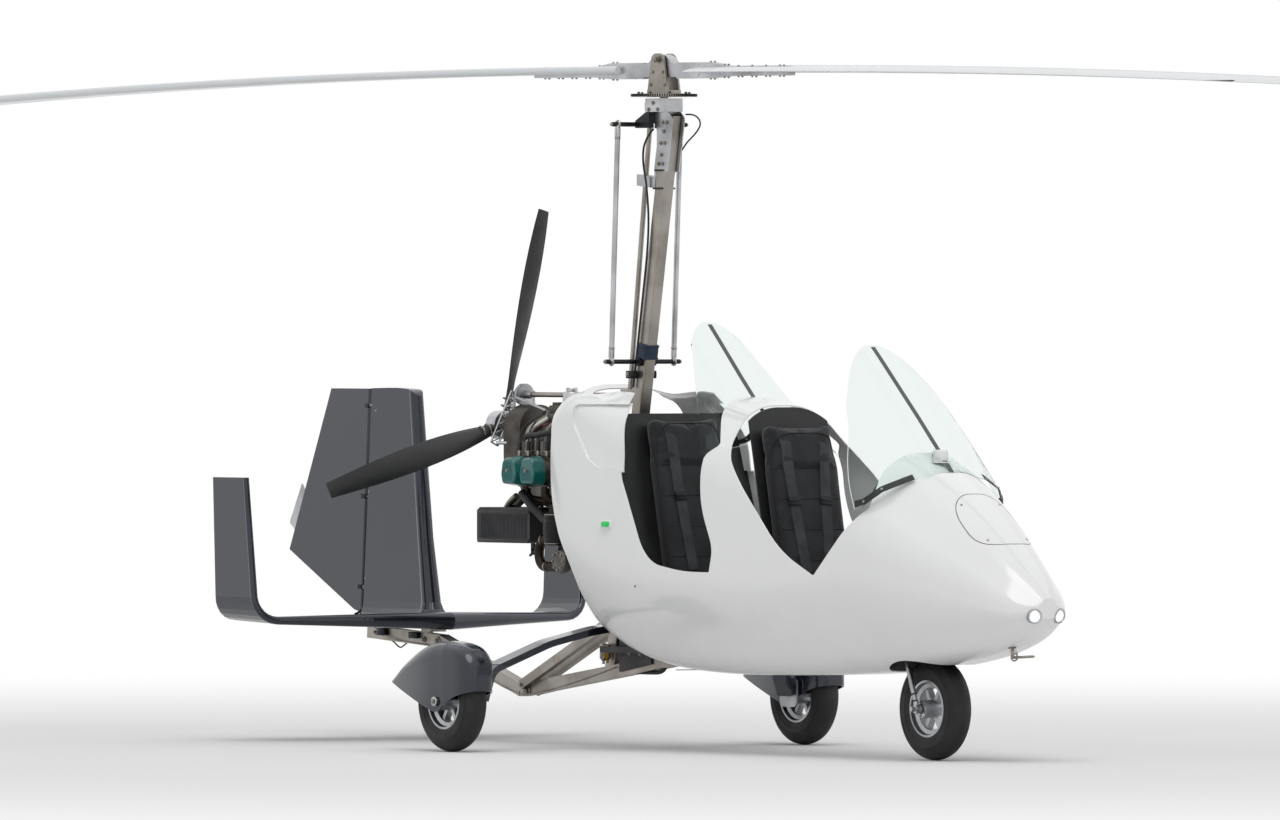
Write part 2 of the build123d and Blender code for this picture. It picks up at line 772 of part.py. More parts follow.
with BuildPart() as nose_fork:
    rod(on_steer(crown_low), on_steer(stem_top), stem_radius)
    crown_plane = Plane(origin=on_steer(crown_low), x_dir=(0, 1, 0), z_dir=steer_way)
    with BuildSketch(crown_plane):
        SlotCenterToCenter(2 * fork_half_width, 44)
    extrude(amount=crown_high - crown_low)
    for side in (-1, 1):
        y = side * fork_half_width
        rod(on_steer(crown_low, y), on_steer(0, y), fork_tube)
    for side in (-1, 1):
        stations = (fork_half_width - 12, fork_eye_y, tow_pin_y)
        eye = [Vector(nose_wheel_x, side * y, tyre_radius) for y in stations]
        rod(eye[0], eye[1], fork_tube + 6)
        rod(eye[1], eye[2], tow_pin_radius)
    rod((nose_wheel_x, -fork_eye_y, tyre_radius), (nose_wheel_x, fork_eye_y, tyre_radius), nose_axle_radius)
write(nose_fork, "nose_fork")

# Wheels: tyre, spoked rim and hub


def wheel(prefix, x, y, bore, hub_half):
    """Write a tyre and its rim, centred on their axle."""
    plane = Plane(origin=(x, y, tyre_radius), x_dir=(1, 0, 0), z_dir=(0, 1, 0))
    half = tyre_width / 2
    side = Plane(origin=(x, y, tyre_radius), x_dir=(0, 1, 0), z_dir=(-1, 0, 0))
    axle = Axis((x, y, tyre_radius), (0, 1, 0))
    bead = rim_width / 2
    with BuildPart() as tyre:
        with BuildSketch(side):
            with BuildLine():
                Line((-bead, rim_radius), (bead, rim_radius))
                ThreePointArc((bead, rim_radius), (half, rim_radius + 42), (half - 10, tyre_radius - 22))
                ThreePointArc((half - 10, tyre_radius - 22), (half - 22, tyre_radius - 8), (half - 38, tyre_radius - 2))
                ThreePointArc((half - 38, tyre_radius - 2), (0, tyre_radius), (38 - half, tyre_radius - 2))
                ThreePointArc((38 - half, tyre_radius - 2), (22 - half, tyre_radius - 8), (10 - half, tyre_radius - 22))
                ThreePointArc((10 - half, tyre_radius - 22), (-half, rim_radius + 42), (-bead, rim_radius))
            make_face()
        revolve(axis=axle)
    write(tyre, f"{prefix}_tyre")
    with BuildPart() as rim:
        with BuildSketch(side):
            with BuildLine():
                Polyline(
                    (-bead, rim_radius),
                    (bead, rim_radius),
                    (bead, rim_radius - 8),
                    (bead - 16, rim_radius - 12),
                    (bead - 22, rim_bore - 18),
                    (22 - bead, rim_bore - 18),
                    (16 - bead, rim_radius - 12),
                    (-bead, rim_radius - 8),
                    close=True,
                )
            make_face()
        revolve(axis=axle)
        with BuildSketch(plane.offset(-hub_half)):
            Circle(hub_radius)
        extrude(amount=2 * hub_half)
        with BuildSketch(plane.offset(-14)):
            with PolarLocations(0, spoke_count):
                with Locations(((hub_radius + rim_bore - 20) / 2, 0)):
                    Rectangle(rim_bore - 8 - hub_radius, 16)
        extrude(amount=28)
        with BuildSketch(plane.offset(-hub_half - 1)):
            Circle(bore + bearing_gap)
        extrude(amount=2 * hub_half + 2, mode=Mode.SUBTRACT)
    write(rim, f"{prefix}_rim")


wheel("nose", nose_wheel_x, 0.0, nose_axle_radius, 68.0)
wheel("left", main_wheel_x, main_wheel_y, axle_radius, 62.0)
wheel("right", main_wheel_x, -main_wheel_y, axle_radius, 62.0)

# Windshields: clear sheet bent over a leaning half cone, trimmed in side view

glass_wall = 3.0


def windshield(name, rings, trim, shares, seats):
    """A bent clear sheet through level rings, standing on its seats."""
    with BuildPart() as glass:
        for inset, mode in ((0.0, Mode.ADD), (glass_wall, Mode.SUBTRACT)):
            for z, front_x, radius in rings:
                with BuildSketch(Plane.XY.offset(z)):
                    with Locations((front_x - radius, 0)):
                        Circle(radius - inset)
            loft(mode=mode)
        add(side_prism(trim, shares, pod_half_width), mode=Mode.INTERSECT)
        for seat in seats:
            add(seat, mode=Mode.SUBTRACT)
    with BuildPart() as sheet:
        add(glass.solids().sort_by(SortBy.VOLUME)[-1])
    write(sheet, name)


# Columns: z, x at the middle, radius
FRONT_GLASS_RINGS = [(900, 2066, 340), (1240, 1716, 335), (1620, 1300, 310)]
REAR_GLASS_RINGS = [(1090, 1040, 340), (1340, 622, 338), (1546, 405, 310), (1700, 243, 290)]
front_glass_trim = [
    (1322, 1602),
    (1388, 1530),
    (1452, 1420),
    (1580, 1250),
    (1662, 1050),
    (1712, 950),
    (1752, 958),
    (1852, 1056),
    (1960, 1110),
    (1500, 1620),
]
rear_glass_trim = [
    (258, 1668),
    (376, 1546),
    (525, 1354),
    (680, 1158),
    (708, 1134),
    (787, 1188),
    (626, 1352),
    (640, 1690),
    (300, 1690),
]
front_glass_shares = [0.1, 0.3, 0.3, 0.3, 0.3, 0, 0, 0, 0, 0]
rear_glass_shares = [0.1, 0.3, 0.3, 0, 0, 0.2, 0, 0, 0]
nose_seat = [(1480, sill_z), (1750, 955), (1905, 1130), (2100, 1130), (2100, sill_z)]


def pod_slice(outline, shares):
    """The solid stretch of the pod inside a side outline."""
    with BuildPart() as stretch:
        add(pod_outside)
        add(side_prism(outline, shares, pod_half_width), mode=Mode.INTERSECT)
    return stretch.part


front_seats = [pod_slice(nose_seat, [0] * 5), panel_cowl.part]
windshield("front_windshield", FRONT_GLASS_RINGS, front_glass_trim, front_glass_shares, front_seats)
windshield("rear_windshield", REAR_GLASS_RINGS, rear_glass_trim, rear_glass_shares, [middle_fairing.part])

# Main gear: leaf spring bow, axles, and a fairing over each wheel

bow_x = -200.0
bow_width = 84.0
bow_thick = 26.0
bow_end_y = 728.0
bow_points = [
    (-bow_end_y, 196),
    (-690, 312),
    (-420, 412),
    (-150, 470),
    (150, 470),
    (420, 412),
    (690, 312),
    (bow_end_y, 196),
]
fairing_width = 156.0
fairing_wall = 3.0
fairing_inner_y = main_wheel_y - fairing_width / 2
fairing_outer_y = main_wheel_y + fairing_width / 2

with BuildPart() as gear_bow:
    with BuildSketch(Plane.YZ.offset(bow_x - bow_width / 2)):
        with BuildLine():
            FilletPolyline(*bow_points, radius=[70, 400, 700, 700, 400, 70])
        trace(line_width=bow_thick)
    extrude(amount=bow_width)
write(gear_bow, "gear_bow")

clamp_half_y = 70.0
clamp_plate = 8.0

with BuildPart() as gear_clamp:
    low = 470 - bow_thick / 2
    with BuildSketch(Plane.XY.offset(low - 12)):
        with Locations((bow_x, 0)):
            RectangleRounded(bow_width + 50, 2 * clamp_half_y, 10)
    extrude(amount=12)
    with BuildSketch(Plane.XY.offset(low + bow_thick)):
        with Locations((bow_x, 0)):
            RectangleRounded(bow_width + 50, 2 * clamp_half_y, 10)
    extrude(amount=10)
    with BuildSketch(Plane.XY.offset(low)):
        with Locations((bow_x, 0)):
            with GridLocations(bow_width + 26, 2 * clamp_half_y - 30, 2, 2):
                Circle(5)
    extrude(amount=bow_thick)
    cheek = [(-254, 296), (-40, 330), (-40, 404), (-150, low - 12), (-254, low - 12)]
    side_block(cheek, [0] * 5, -keel_width / 2 - clamp_plate, -keel_width / 2)
    side_block(cheek, [0] * 5, keel_width / 2, keel_width / 2 + clamp_plate)
    side_block([(-300, 372), (-30, 372), (-30, 396), (-300, 396)], [0.1] * 4, -92, 92)
    add(solid_mast, mode=Mode.SUBTRACT)
write(gear_clamp, "gear_clamp")

# Wheel fairings: a hood lofted from front to back, open below along a slanted line

fairing_lip = (-24.0, 236.0)
fairing_tail = (-612.0, 266.0)
fairing_flap = (main_wheel_x + 2, 148.0)

# The front and the rear loft meet at the crest row. Columns: x, half width, top z, radius of the
# upper corners
FAIRING_SECTIONS = [
    (-22, 20, 292, 18),
    (-28, 42, 340, 36),
    (-50, 62, 379, 48),
    (-104, 75, 412, 56),
    (-150, 77, 422, 59),
    (-200, 78, 427, 60),
    (-270, 77.5, 423, 60),
    (-340, 73.5, 409, 57),
    (-410, 65, 382, 50),
    (-480, 54, 348, 42),
    (-550, 41, 309, 33),
    (-612, 27, 272, 23),
]
fairing_crest = 5
fairing_foot = 100.0


def fairing_body(y, inset):
    """The fairing as a closed solid down to its foot, pulled in by inset on every side."""
    front, back = FAIRING_SECTIONS[0][0], FAIRING_SECTIONS[-1][0]
    with BuildPart() as body:
        for rows in (FAIRING_SECTIONS[: fairing_crest + 1], FAIRING_SECTIONS[fairing_crest:]):
            for x, half_width, top, corner in rows:
                share = (x - back) / (front - back)
                at_x = back + inset + share * (front - back - 2 * inset)
                half = half_width - inset
                round_off = corner - inset
                high = top - inset - round_off
                slant = round_off * (1 - sqrt(0.5))
                with BuildSketch(Plane.YZ.offset(at_x)):
                    with BuildLine() as arch:
                        Line((y - half, fairing_foot), (y - half, high))
                        ThreePointArc(
                            (y - half, high),
                            (y - half + slant, high + round_off - slant),
                            (y - half + round_off, high + round_off),
                        )
                        Line((y - half + round_off, high + round_off), (y + half - round_off, high + round_off))
                        ThreePointArc(
                            (y + half - round_off, high + round_off),
                            (y + half - slant, high + round_off - slant),
                            (y + half, high),
                        )
                        Line((y + half, high), (y + half, fairing_foot))
                        Line((y + half, fairing_foot), (y - half, fairing_foot))
                    make_face(arch.line.edges())
            loft()
    return body.part


def wheel_fairing(side):
    """The hood over a main wheel, open below."""
    below = [
        (fairing_lip[0] + 200, fairing_lip[1] + 60),
        fairing_lip,
        (fairing_flap[0] + 90, fairing_flap[1] + 62),
        fairing_flap,
        fairing_tail,
        (fairing_tail[0] - 200, fairing_tail[1] + 60),
        (fairing_tail[0] - 200, 0),
        (fairing_lip[0] + 200, 0),
    ]
    with BuildPart() as hood:
        y = side * main_wheel_y
        add(fairing_body(y, 0))
        add(fairing_body(y, fairing_wall), mode=Mode.SUBTRACT)
        add(side_prism(below, [0, 0, 0.5, 0.3, 0, 0, 0, 0], 2 * main_wheel_y), mode=Mode.SUBTRACT)
        with BuildSketch(Plane(origin=(main_wheel_x, y - fairing_width, tyre_radius), z_dir=(0, 1, 0))):
            Circle(axle_radius + seat_gap)
        extrude(amount=2 * fairing_width, mode=Mode.SUBTRACT)
    return hood


for prefix, side in (("left", 1), ("right", -1)):
    hood = wheel_fairing(side)
    write(hood, f"{prefix}_wheel_fairing")
    with BuildPart() as axle:
        reach = fairing_outer_y + 8
        start = Vector(main_wheel_x, side * (bow_end_y + 13), tyre_radius)
        end = Vector(main_wheel_x, side * reach, tyre_radius)
        rod(start, end, axle_radius)
        inner_stop = Vector(main_wheel_x, side * (fairing_inner_y - seat_gap), tyre_radius)
        rod(start, inner_stop, 22)
        outer_stop = Vector(main_wheel_x, side * (fairing_outer_y + seat_gap), tyre_radius)
        rod(outer_stop, end, 13)
        spacer = Vector(main_wheel_x, side * (main_wheel_y - 62 - seat_gap), tyre_radius)
        inner_wall = Vector(main_wheel_x, side * (fairing_inner_y + fairing_wall + seat_gap), tyre_radius)
        rod(inner_wall, spacer, 16)
        far_spacer = Vector(main_wheel_x, side * (main_wheel_y + 62 + seat_gap), tyre_radius)
        outer_wall = Vector(main_wheel_x, side * (fairing_outer_y - fairing_wall - seat_gap), tyre_radius)
        rod(far_spacer, outer_wall, 16)
        plate_y = (bow_end_y + 13) * side
        flange = [(-262, 150), (-150, 150), (-150, 262), (-262, 262)]
        side_block(flange, [0.2] * 4, min(plate_y, plate_y + 8 * side), max(plate_y, plate_y + 8 * side))
        add(hood.part, mode=Mode.SUBTRACT)
    write(axle, f"{prefix}_axle")

# Keel struts: the pair of tubes from the keel's bend up to the engine mount

strut_low = (-905.0, 232.0)
strut_high = (-318.0, 486.0)
strut_height = 36.0

with BuildPart() as keel_struts:
    bar = band([strut_low, strut_high], strut_height)
    half = keel_width / 2
    side_block(bar, [0.2] * 4, half + seat_gap, half + 26)
    side_block(bar, [0.2] * 4, -half - 26, -half - seat_gap)
    rod((strut_low[0] + 8, -half - 34, strut_low[1] + 3), (strut_low[0] + 8, half + 34, strut_low[1] + 3), 8)
    add(keel.part, mode=Mode.SUBTRACT)
write(keel_struts, "keel_struts")

# Tail: one moulding of tailplane and side fins, a centre fin and the rudder


def fin_section(lead, trail, thick, tail_thick):
    """A tail surface's section: round nose at lead, square back at trail, drawn along x."""
    nose = lead - thick * 0.9
    with BuildLine() as outline:
        ThreePointArc((nose, -thick / 2), (lead, 0), (nose, thick / 2))
        Line((nose, thick / 2), (trail, tail_thick / 2))
        Line((trail, tail_thick / 2), (trail, -tail_thick / 2))
        Line((trail, -tail_thick / 2), (nose, -thick / 2))
    make_face(outline.line.edges())


tail_bend = 92.0
tail_bend_steps = 6
tail_edge = 5.0
# Columns: y, z, lead x, trail x, thickness
TAIL_SECTIONS = [(0, 474, -1420, -2000, 60), (330, 478, -1508, -1975, 44), (696, 480, -1626, -1945, 27)]
SIDE_FIN_TOP = (802, 1042, -1694, -1935, 20)
side_fin_foot = (-1655, -1938, 24)


def tail_half(side):
    """Half of the tail moulding, from the middle out and up to the side fin's top."""
    stations = [(y, z, 0, lead, trail, thick) for y, z, lead, trail, thick in TAIL_SECTIONS]
    y, z, lead, trail, thick = TAIL_SECTIONS[-1]
    for step in range(1, tail_bend_steps + 1):
        share = step / tail_bend_steps
        lean = radians(90 * share)
        grown = [old + (new - old) * share for old, new in zip((lead, trail, thick), side_fin_foot)]
        stations.append((y + tail_bend * sin(lean), z + tail_bend * (1 - cos(lean)), 90 * share, *grown))
    y, z, lead, trail, thick = SIDE_FIN_TOP
    stations.append((y, z, 90, lead, trail, thick))
    sections = []
    for y, z, tilt, lead, trail, thick in stations:
        lean = radians(tilt)
        normal = (0, side * cos(lean), sin(lean))
        with BuildSketch(Plane(origin=(0, side * y, z), x_dir=(1, 0, 0), z_dir=normal)) as section:
            fin_section(lead, trail, thick, tail_edge)
        sections.append(section.sketch)
    loft(sections, ruled=True)


with BuildPart() as tailplane:
    tail_half(1)
    tail_half(-1)
write(tailplane, "tailplane")

tail_pad_x = (-1900.0, -1570.0)

with BuildPart() as tail_carrier:
    keel_tube([keel_bend, keel_joint, keel_tail])
    for x in tail_pad_x:
        with BuildSketch(Plane.XY.offset(430)):
            with Locations((x, 0)):
                RectangleRounded(70, keel_width + 30, 8)
        extrude(amount=44)
    add(keel.part, mode=Mode.SUBTRACT)
    add(tailplane.part, mode=Mode.SUBTRACT)
write(tail_carrier, "tail_carrier")

hinge_top = (-2002.0, 1388.0)
hinge_low = (-2059.0, 531.0)
rudder_nose = 17.0
pin_radius = 4.0
hinge_way = Vector(hinge_top[0] - hinge_low[0], 0, hinge_top[1] - hinge_low[1]).normalized()
hinge_length = hypot(hinge_top[0] - hinge_low[0], hinge_top[1] - hinge_low[1])
hinge_share = [0.08, 0.5, 0.92]


def hinge_x(z):
    """The rudder hinge line at a height."""
    return hinge_low[0] + (z - hinge_low[1]) * hinge_way.X / hinge_way.Z


def on_hinge(share):
    """A point on the hinge line, as a share of its length from below."""
    return Vector(hinge_low[0], 0, hinge_low[1]) + hinge_way * (share * hinge_length)


# Columns: z, lead x, thickness, thickness at the rudder
FIN_SECTIONS = [
    (484, -1500, 150, 90),
    (500, -1522, 104, 58),
    (518, -1537, 80, 44),
    (545, -1549, 66, 37),
    (800, -1596, 54, 34),
    (1392, -1668, 46, 34),
]
fin_side = [(-1400, 400), (-2200, 400), (-2200, 1386), (-1800, 1393), (-1668, 1384), (-1636, 1290)]

with BuildPart() as centre_fin:
    for z, lead, thick, tail_thick in FIN_SECTIONS:
        with BuildSketch(Plane.XY.offset(z)):
            fin_section(lead, hinge_x(z) + rudder_nose + moving_gap, thick, tail_thick)
    loft(ruled=True)
    add(side_prism(fin_side, [0, 0, 0, 0.3, 0.48, 0.3], 120), mode=Mode.INTERSECT)
    for share in hinge_share:
        centre = on_hinge(share)
        with BuildSketch(Plane(origin=centre - hinge_way * 3, x_dir=(0, 1, 0), z_dir=hinge_way)):
            Circle(9)
            with Locations((0, -18)):
                Rectangle(18, 36)
            Circle(pin_radius + bearing_gap, mode=Mode.SUBTRACT)
        extrude(amount=6)
    add(tailplane.part, mode=Mode.SUBTRACT)
write(centre_fin, "centre_fin")

# Columns: z, trail x
RUDDER_SECTIONS = [(498, -2697), (1388, -2285)]
rudder_edge = 6.0

with BuildPart() as rudder:
    for z, trail in RUDDER_SECTIONS:
        nose = hinge_x(z) + rudder_nose
        with BuildSketch(Plane.XY.offset(z)):
            with BuildLine():
                middle = hinge_x(z)
                ThreePointArc((middle, -rudder_nose), (nose, 0), (middle, rudder_nose))
                Line((middle, rudder_nose), (trail, rudder_edge / 2))
                Line((trail, rudder_edge / 2), (trail, -rudder_edge / 2))
                Line((trail, -rudder_edge / 2), (middle, -rudder_nose))
            make_face()
    loft()
    lower_edge = [(-2100, 507), (-2040, 500), (-2040, 400), (-2800, 400), (-2800, 848), (-2584, 743)]
    add(side_prism(lower_edge, [0.3, 0, 0, 0, 0, 0], 100), mode=Mode.SUBTRACT)
    for share in hinge_share:
        with BuildSketch(Plane(origin=on_hinge(share) - hinge_way * 9, x_dir=(0, 1, 0), z_dir=hinge_way)):
            Circle(rudder_nose + 14)
            with Locations((0, -20)):
                Rectangle(2 * rudder_nose + 28, 44)
        extrude(amount=18, mode=Mode.SUBTRACT)
    with BuildSketch(Plane(origin=on_hinge(-0.2), z_dir=hinge_way)):
        Circle(pin_radius + bearing_gap)
    extrude(amount=hinge_length * 1.4, mode=Mode.SUBTRACT)
write(rudder, "rudder")

with BuildPart() as hinge_pin:
    rod(on_hinge(hinge_share[0]) - hinge_way * 26, on_hinge(hinge_share[-1]) + hinge_way * 26, pin_radius)
write(hinge_pin, "hinge_pin")

tab_z = (820.0, 980.0)
tab_reach = 38.0


def rudder_trail(z):
    """The rudder's trailing edge at a height."""
    (z1, x1), (z2, x2) = RUDDER_SECTIONS
    return x1 + (x2 - x1) * (z - z1) / (z2 - z1)


with BuildPart() as trim_tab:
    tab = [
        (rudder_trail(tab_z[0]), tab_z[0]),
        (rudder_trail(tab_z[1]), tab_z[1]),
        (rudder_trail(tab_z[1]) - tab_reach * 0.6, tab_z[1] + 30),
        (rudder_trail(tab_z[0]) - tab_reach, tab_z[0] + 30),
    ]
    side_block(tab, [0, 0, 0.2, 0.2], -1, 1)
write(trim_tab, "trim_tab")

# Engine: flat four with its gearbox, open behind the pod

crank_z = 1075.0
cylinder_x = (-516.0, -642.0)
cover_inner_y = 236.0
cover_outer_y = 292.0

with BuildPart() as engine_block:
    side_block([(-400, 960), (-800, 960), (-840, 1010), (-840, 1190), (-400, 1190)], [0.2] * 5, -95, 95)
    for x in cylinder_x:
        with BuildSketch(Plane.XZ.offset(-cover_inner_y)):
            with Locations((x, crank_z)):
                Circle(52)
        extrude(amount=2 * cover_inner_y)
        for fin in range(8):
            for side in (-1, 1):
                with BuildSketch(Plane.XZ.offset(side * (110 + fin * 13))):
                    with Locations((x, crank_z)):
                        RectangleRounded(122, 118, 20)
                extrude(amount=4)
    with BuildSketch(Plane.YZ.offset(-840)):
        with Locations((0, 1180)):
            SlotCenterToCenter(110, 190, rotation=90)
    extrude(amount=-110)
    rod((-950, 0, prop_z), (prop_x + 60, 0, prop_z), 46)
    rod((-960, 0, prop_z), (prop_x + 22, 0, prop_z), 30)
write(engine_block, "engine_block")

# The covers in side view, from the cylinder's middle: narrower above, with soft corners
cover_outline = [(-44, -58), (44, -58), (57, -14), (40, 58), (-40, 58), (-57, -14)]
cover_shares = [0.35, 0.35, 0.3, 0.4, 0.4, 0.3]
cover_taper = 9.0
cover_round = 11.0


def valve_cover(x, side):
    """One cylinder's cover, drawn in towards its rounded outer face."""
    with BuildPart() as cover:
        with BuildSketch(Plane.XZ.offset(-side * cover_inner_y)):
            soft_outline([(x + dx, crank_z + dz) for dx, dz in cover_outline], cover_shares)
        extrude(amount=-side * (cover_outer_y - cover_inner_y), taper=cover_taper)
        outer_face = cover.faces().sort_by(Axis.Y)[0 if side < 0 else -1]
        fillet(outer_face.edges(), cover_round)
    return cover.part


with BuildPart() as valve_covers:
    for side in (-1, 1):
        for x in cylinder_x:
            add(valve_cover(x, side))
write(valve_covers, "valve_covers")

pipe_radius = 19.0
manifold_z = 1290.0
intake_foot = 1132.0
intake_y = 185.0

with BuildPart() as intake_pipes:
    for side in (-1, 1):
        for x in cylinder_x:
            with BuildLine() as way:
                FilletPolyline(
                    (x, side * intake_y, intake_foot),
                    (x, side * intake_y, intake_foot + 100),
                    (x + 40, side * intake_y / 2, manifold_z),
                    (x + 60, 0, manifold_z),
                    radius=[45, 45],
                )
            with BuildSketch(Plane.XY.offset(intake_foot)):
                with Locations((x, side * intake_y)):
                    Circle(pipe_radius)
            sweep(path=way.line)
    rod((-420, 0, manifold_z), (-620, 0, manifold_z), 30)
    add(engine_block.part, mode=Mode.SUBTRACT)
write(intake_pipes, "intake_pipes")

with BuildPart() as radiator:
    side_block([(-600, 792), (-960, 792), (-960, 918), (-940, 930), (-600, 930)], [0.1] * 5, -215, 60)
    for x in (-640, -740):
        rod((x, -60, 925), (x, -60, 960), 8)
        rod((x, 30, 925), (x, 30, 960), 8)
write(radiator, "radiator")

muffler_at = (-446.0, -200.0)
muffler_radius = 40.0
muffler_low = 786.0
muffler_high = 912.0
header_radius = 17.0
header_low = 938.0
u_pipe_back = 110.0
u_pipe_z = (806.0, 702.0)

with BuildPart() as exhaust:
    muffler_x, muffler_y = muffler_at
    rod((*muffler_at, muffler_low), (*muffler_at, muffler_high), muffler_radius)
    rod((*muffler_at, muffler_high - 8), (*muffler_at, header_low + 6), pipe_radius + 6)
    with BuildLine() as way:
        FilletPolyline(
            (muffler_x, muffler_y, u_pipe_z[0]),
            (muffler_x - u_pipe_back, muffler_y, u_pipe_z[0]),
            (muffler_x - u_pipe_back, muffler_y, u_pipe_z[1]),
            (muffler_x + 6, muffler_y, u_pipe_z[1]),
            radius=[46, 46],
        )
    with BuildSketch(Plane(origin=(muffler_x, muffler_y, u_pipe_z[0]), z_dir=(-1, 0, 0))):
        Circle(pipe_radius)
    sweep(path=way.line)
    for side in (-1, 1):
        for x in cylinder_x:
            port = (x, side * 200, crank_z - 50)
            with BuildLine() as way:
                FilletPolyline(
                    port,
                    (x, side * 200, header_low + 27),
                    (muffler_x - 4, side * 120, header_low),
                    (muffler_x, muffler_y if side < 0 else muffler_y / 2, header_low - 6),
                    radius=[34, 20],
                )
            with BuildSketch(Plane(origin=port, z_dir=(0, 0, -1))):
                Circle(header_radius)
            sweep(path=way.line)
    add(engine_block.part, mode=Mode.SUBTRACT)
write(exhaust, "exhaust")

# Turbocharger: two round casings on one shaft, below the muffler
turbo_at = (-400.0, -200.0, 724.0)

# Columns: distance from the turbine's middle, radius, length
TURBO_CASINGS = [(0, 46, 44), (-42, 20, 40), (-74, 42, 36), (-100, 24, 24)]

with BuildPart() as turbo:
    for distance, radius, length in TURBO_CASINGS:
        middle = Vector(*turbo_at) - Vector(0, distance, 0)
        half = Vector(0, length / 2, 0)
        rod(middle - half, middle + half, radius)
    edges = [edge for edge in turbo.edges().filter_by(GeomType.CIRCLE) if edge.radius > 40]
    fillet(edges, radius=12)
    add(exhaust.part, mode=Mode.SUBTRACT)
write(turbo, "turbo")

# Belt drive of the rotor: pulleys, belt, lattice arm and stay, behind the gearbox

belt_x = (-958.0, -934.0)
belt_width = 16.0
belt_thick = 5.0
pulley_radius = 38.0
drive_pulley_radius = 56.0
arm_x = -966.0
arm_steps = 6


def belt_side(reach):
    """The four-cornered field between the pulleys, out to a distance from their rims."""
    low, high = drive_pulley_radius + reach, pulley_radius + reach
    with BuildLine() as field:
        Polyline(
            (-low, prop_z + 10),
            (-high, belt_shaft_z + 6),
            (high, belt_shaft_z + 6),
            (low, prop_z + 10),
            close=True,
        )
    return field.line.edges()


with BuildPart() as belt_drive:
    rod((belt_x[0], 0, belt_shaft_z), (belt_x[1], 0, belt_shaft_z), pulley_radius)
    rod((belt_x[1], 0, belt_shaft_z), (belt_shaft_x - seat_gap, 0, belt_shaft_z), drive_radius + 6)
    rod((belt_x[0], 0, prop_z), (belt_x[1], 0, prop_z), drive_pulley_radius)
    with BuildSketch(Plane.YZ.offset(belt_x[0] + 4)):
        make_face(belt_side(belt_thick))
        make_face(belt_side(0), mode=Mode.SUBTRACT)
        for radius, z in ((pulley_radius, belt_shaft_z), (drive_pulley_radius, prop_z)):
            with Locations((0, z)):
                Circle(radius + belt_thick)
    extrude(amount=belt_width)
    arm_low = Vector(arm_x, -128, 1176)
    arm_top = Vector(arm_x, -30, belt_shaft_z + 7)
    side_way = Vector(0, 16, -8)
    for way in (side_way, side_way * -1):
        rod(arm_low + way, arm_top + way, 4)
    for step in range(arm_steps + 1):
        here = arm_low + (arm_top - arm_low) * (step / arm_steps)
        ahead = arm_low + (arm_top - arm_low) * (min(step + 1, arm_steps) / arm_steps)
        rod(here - side_way, here + side_way, 3)
        if step < arm_steps:
            rod(here - side_way, ahead + side_way, 3)
    rod((belt_x[0], -30, belt_shaft_z + 2), (arm_x, -30, belt_shaft_z + 2), 14)
    rod((arm_x, -118, 1180), (arm_x + 66, -60, 1180), 7)
    rod((belt_x[0], -40, belt_shaft_z - 7), (cylinder_x[1] - 22, -46, manifold_z), 6)
    for support in (engine_block, prerotator_shaft, intake_pipes):
        add(support.part, mode=Mode.SUBTRACT)
write(belt_drive, "belt_drive")

with BuildPart() as engine_mount:
    side_block([(-400, 1000), (-390, 1000), (-390, 1150), (-400, 1150)], sharp, -92, 92)
    for side in (-1, 1):
        for z in (1020, 1130):
            rod((-392, side * 76, z), (mast_x(z), side * 30, z), 13)
    add(mast.part, mode=Mode.SUBTRACT)
    with BuildSketch(mast_plane):
        Rectangle(mast_width, mast_depth)
    extrude(amount=mast_length, mode=Mode.SUBTRACT)
write(engine_mount, "engine_mount")

# Propeller: hub and three blades

prop_hub_radius = 56.0

with BuildPart() as propeller_hub:
    rod((prop_x + 22 - seat_gap, 0, prop_z), (prop_x - 40, 0, prop_z), prop_hub_radius)
    rod((prop_x - 40, 0, prop_z), (prop_x - 62, 0, prop_z), 26)
write(propeller_hub, "propeller_hub")

# Columns: distance from the hub's middle, chord, thickness, twist in degrees
PROP_SECTIONS = [(50, 46, 30, 48), (180, 84, 19, 38), (430, 104, 12, 24), (prop_radius, 62, 6, 14)]

with BuildPart() as propeller_blades:
    for number in range(3):
        angle = radians(prop_first_blade + 120 * number)
        way = Vector(0, cos(angle), sin(angle))
        sideways = Vector(0, -sin(angle), cos(angle))
        for distance, chord, thick, twist in PROP_SECTIONS:
            lean = radians(twist)
            chord_way = sideways * cos(lean) + Vector(1, 0, 0) * sin(lean)
            origin = Vector(prop_x, 0, prop_z) + way * distance
            with BuildSketch(Plane(origin=origin, x_dir=chord_way, z_dir=way)):
                with BuildLine():
                    ThreePointArc((-chord / 2, 0), (0, thick * 0.62), (chord / 2, 0))
                    ThreePointArc((chord / 2, 0), (0, -thick * 0.38), (-chord / 2, 0))
                make_face()
        loft()
    add(propeller_hub.part, mode=Mode.SUBTRACT)
write(propeller_blades, "propeller_blades")
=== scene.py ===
import json
import math

import bmesh
import bpy
from mathutils import Matrix, Vector
from mathutils.bvhtree import BVHTree


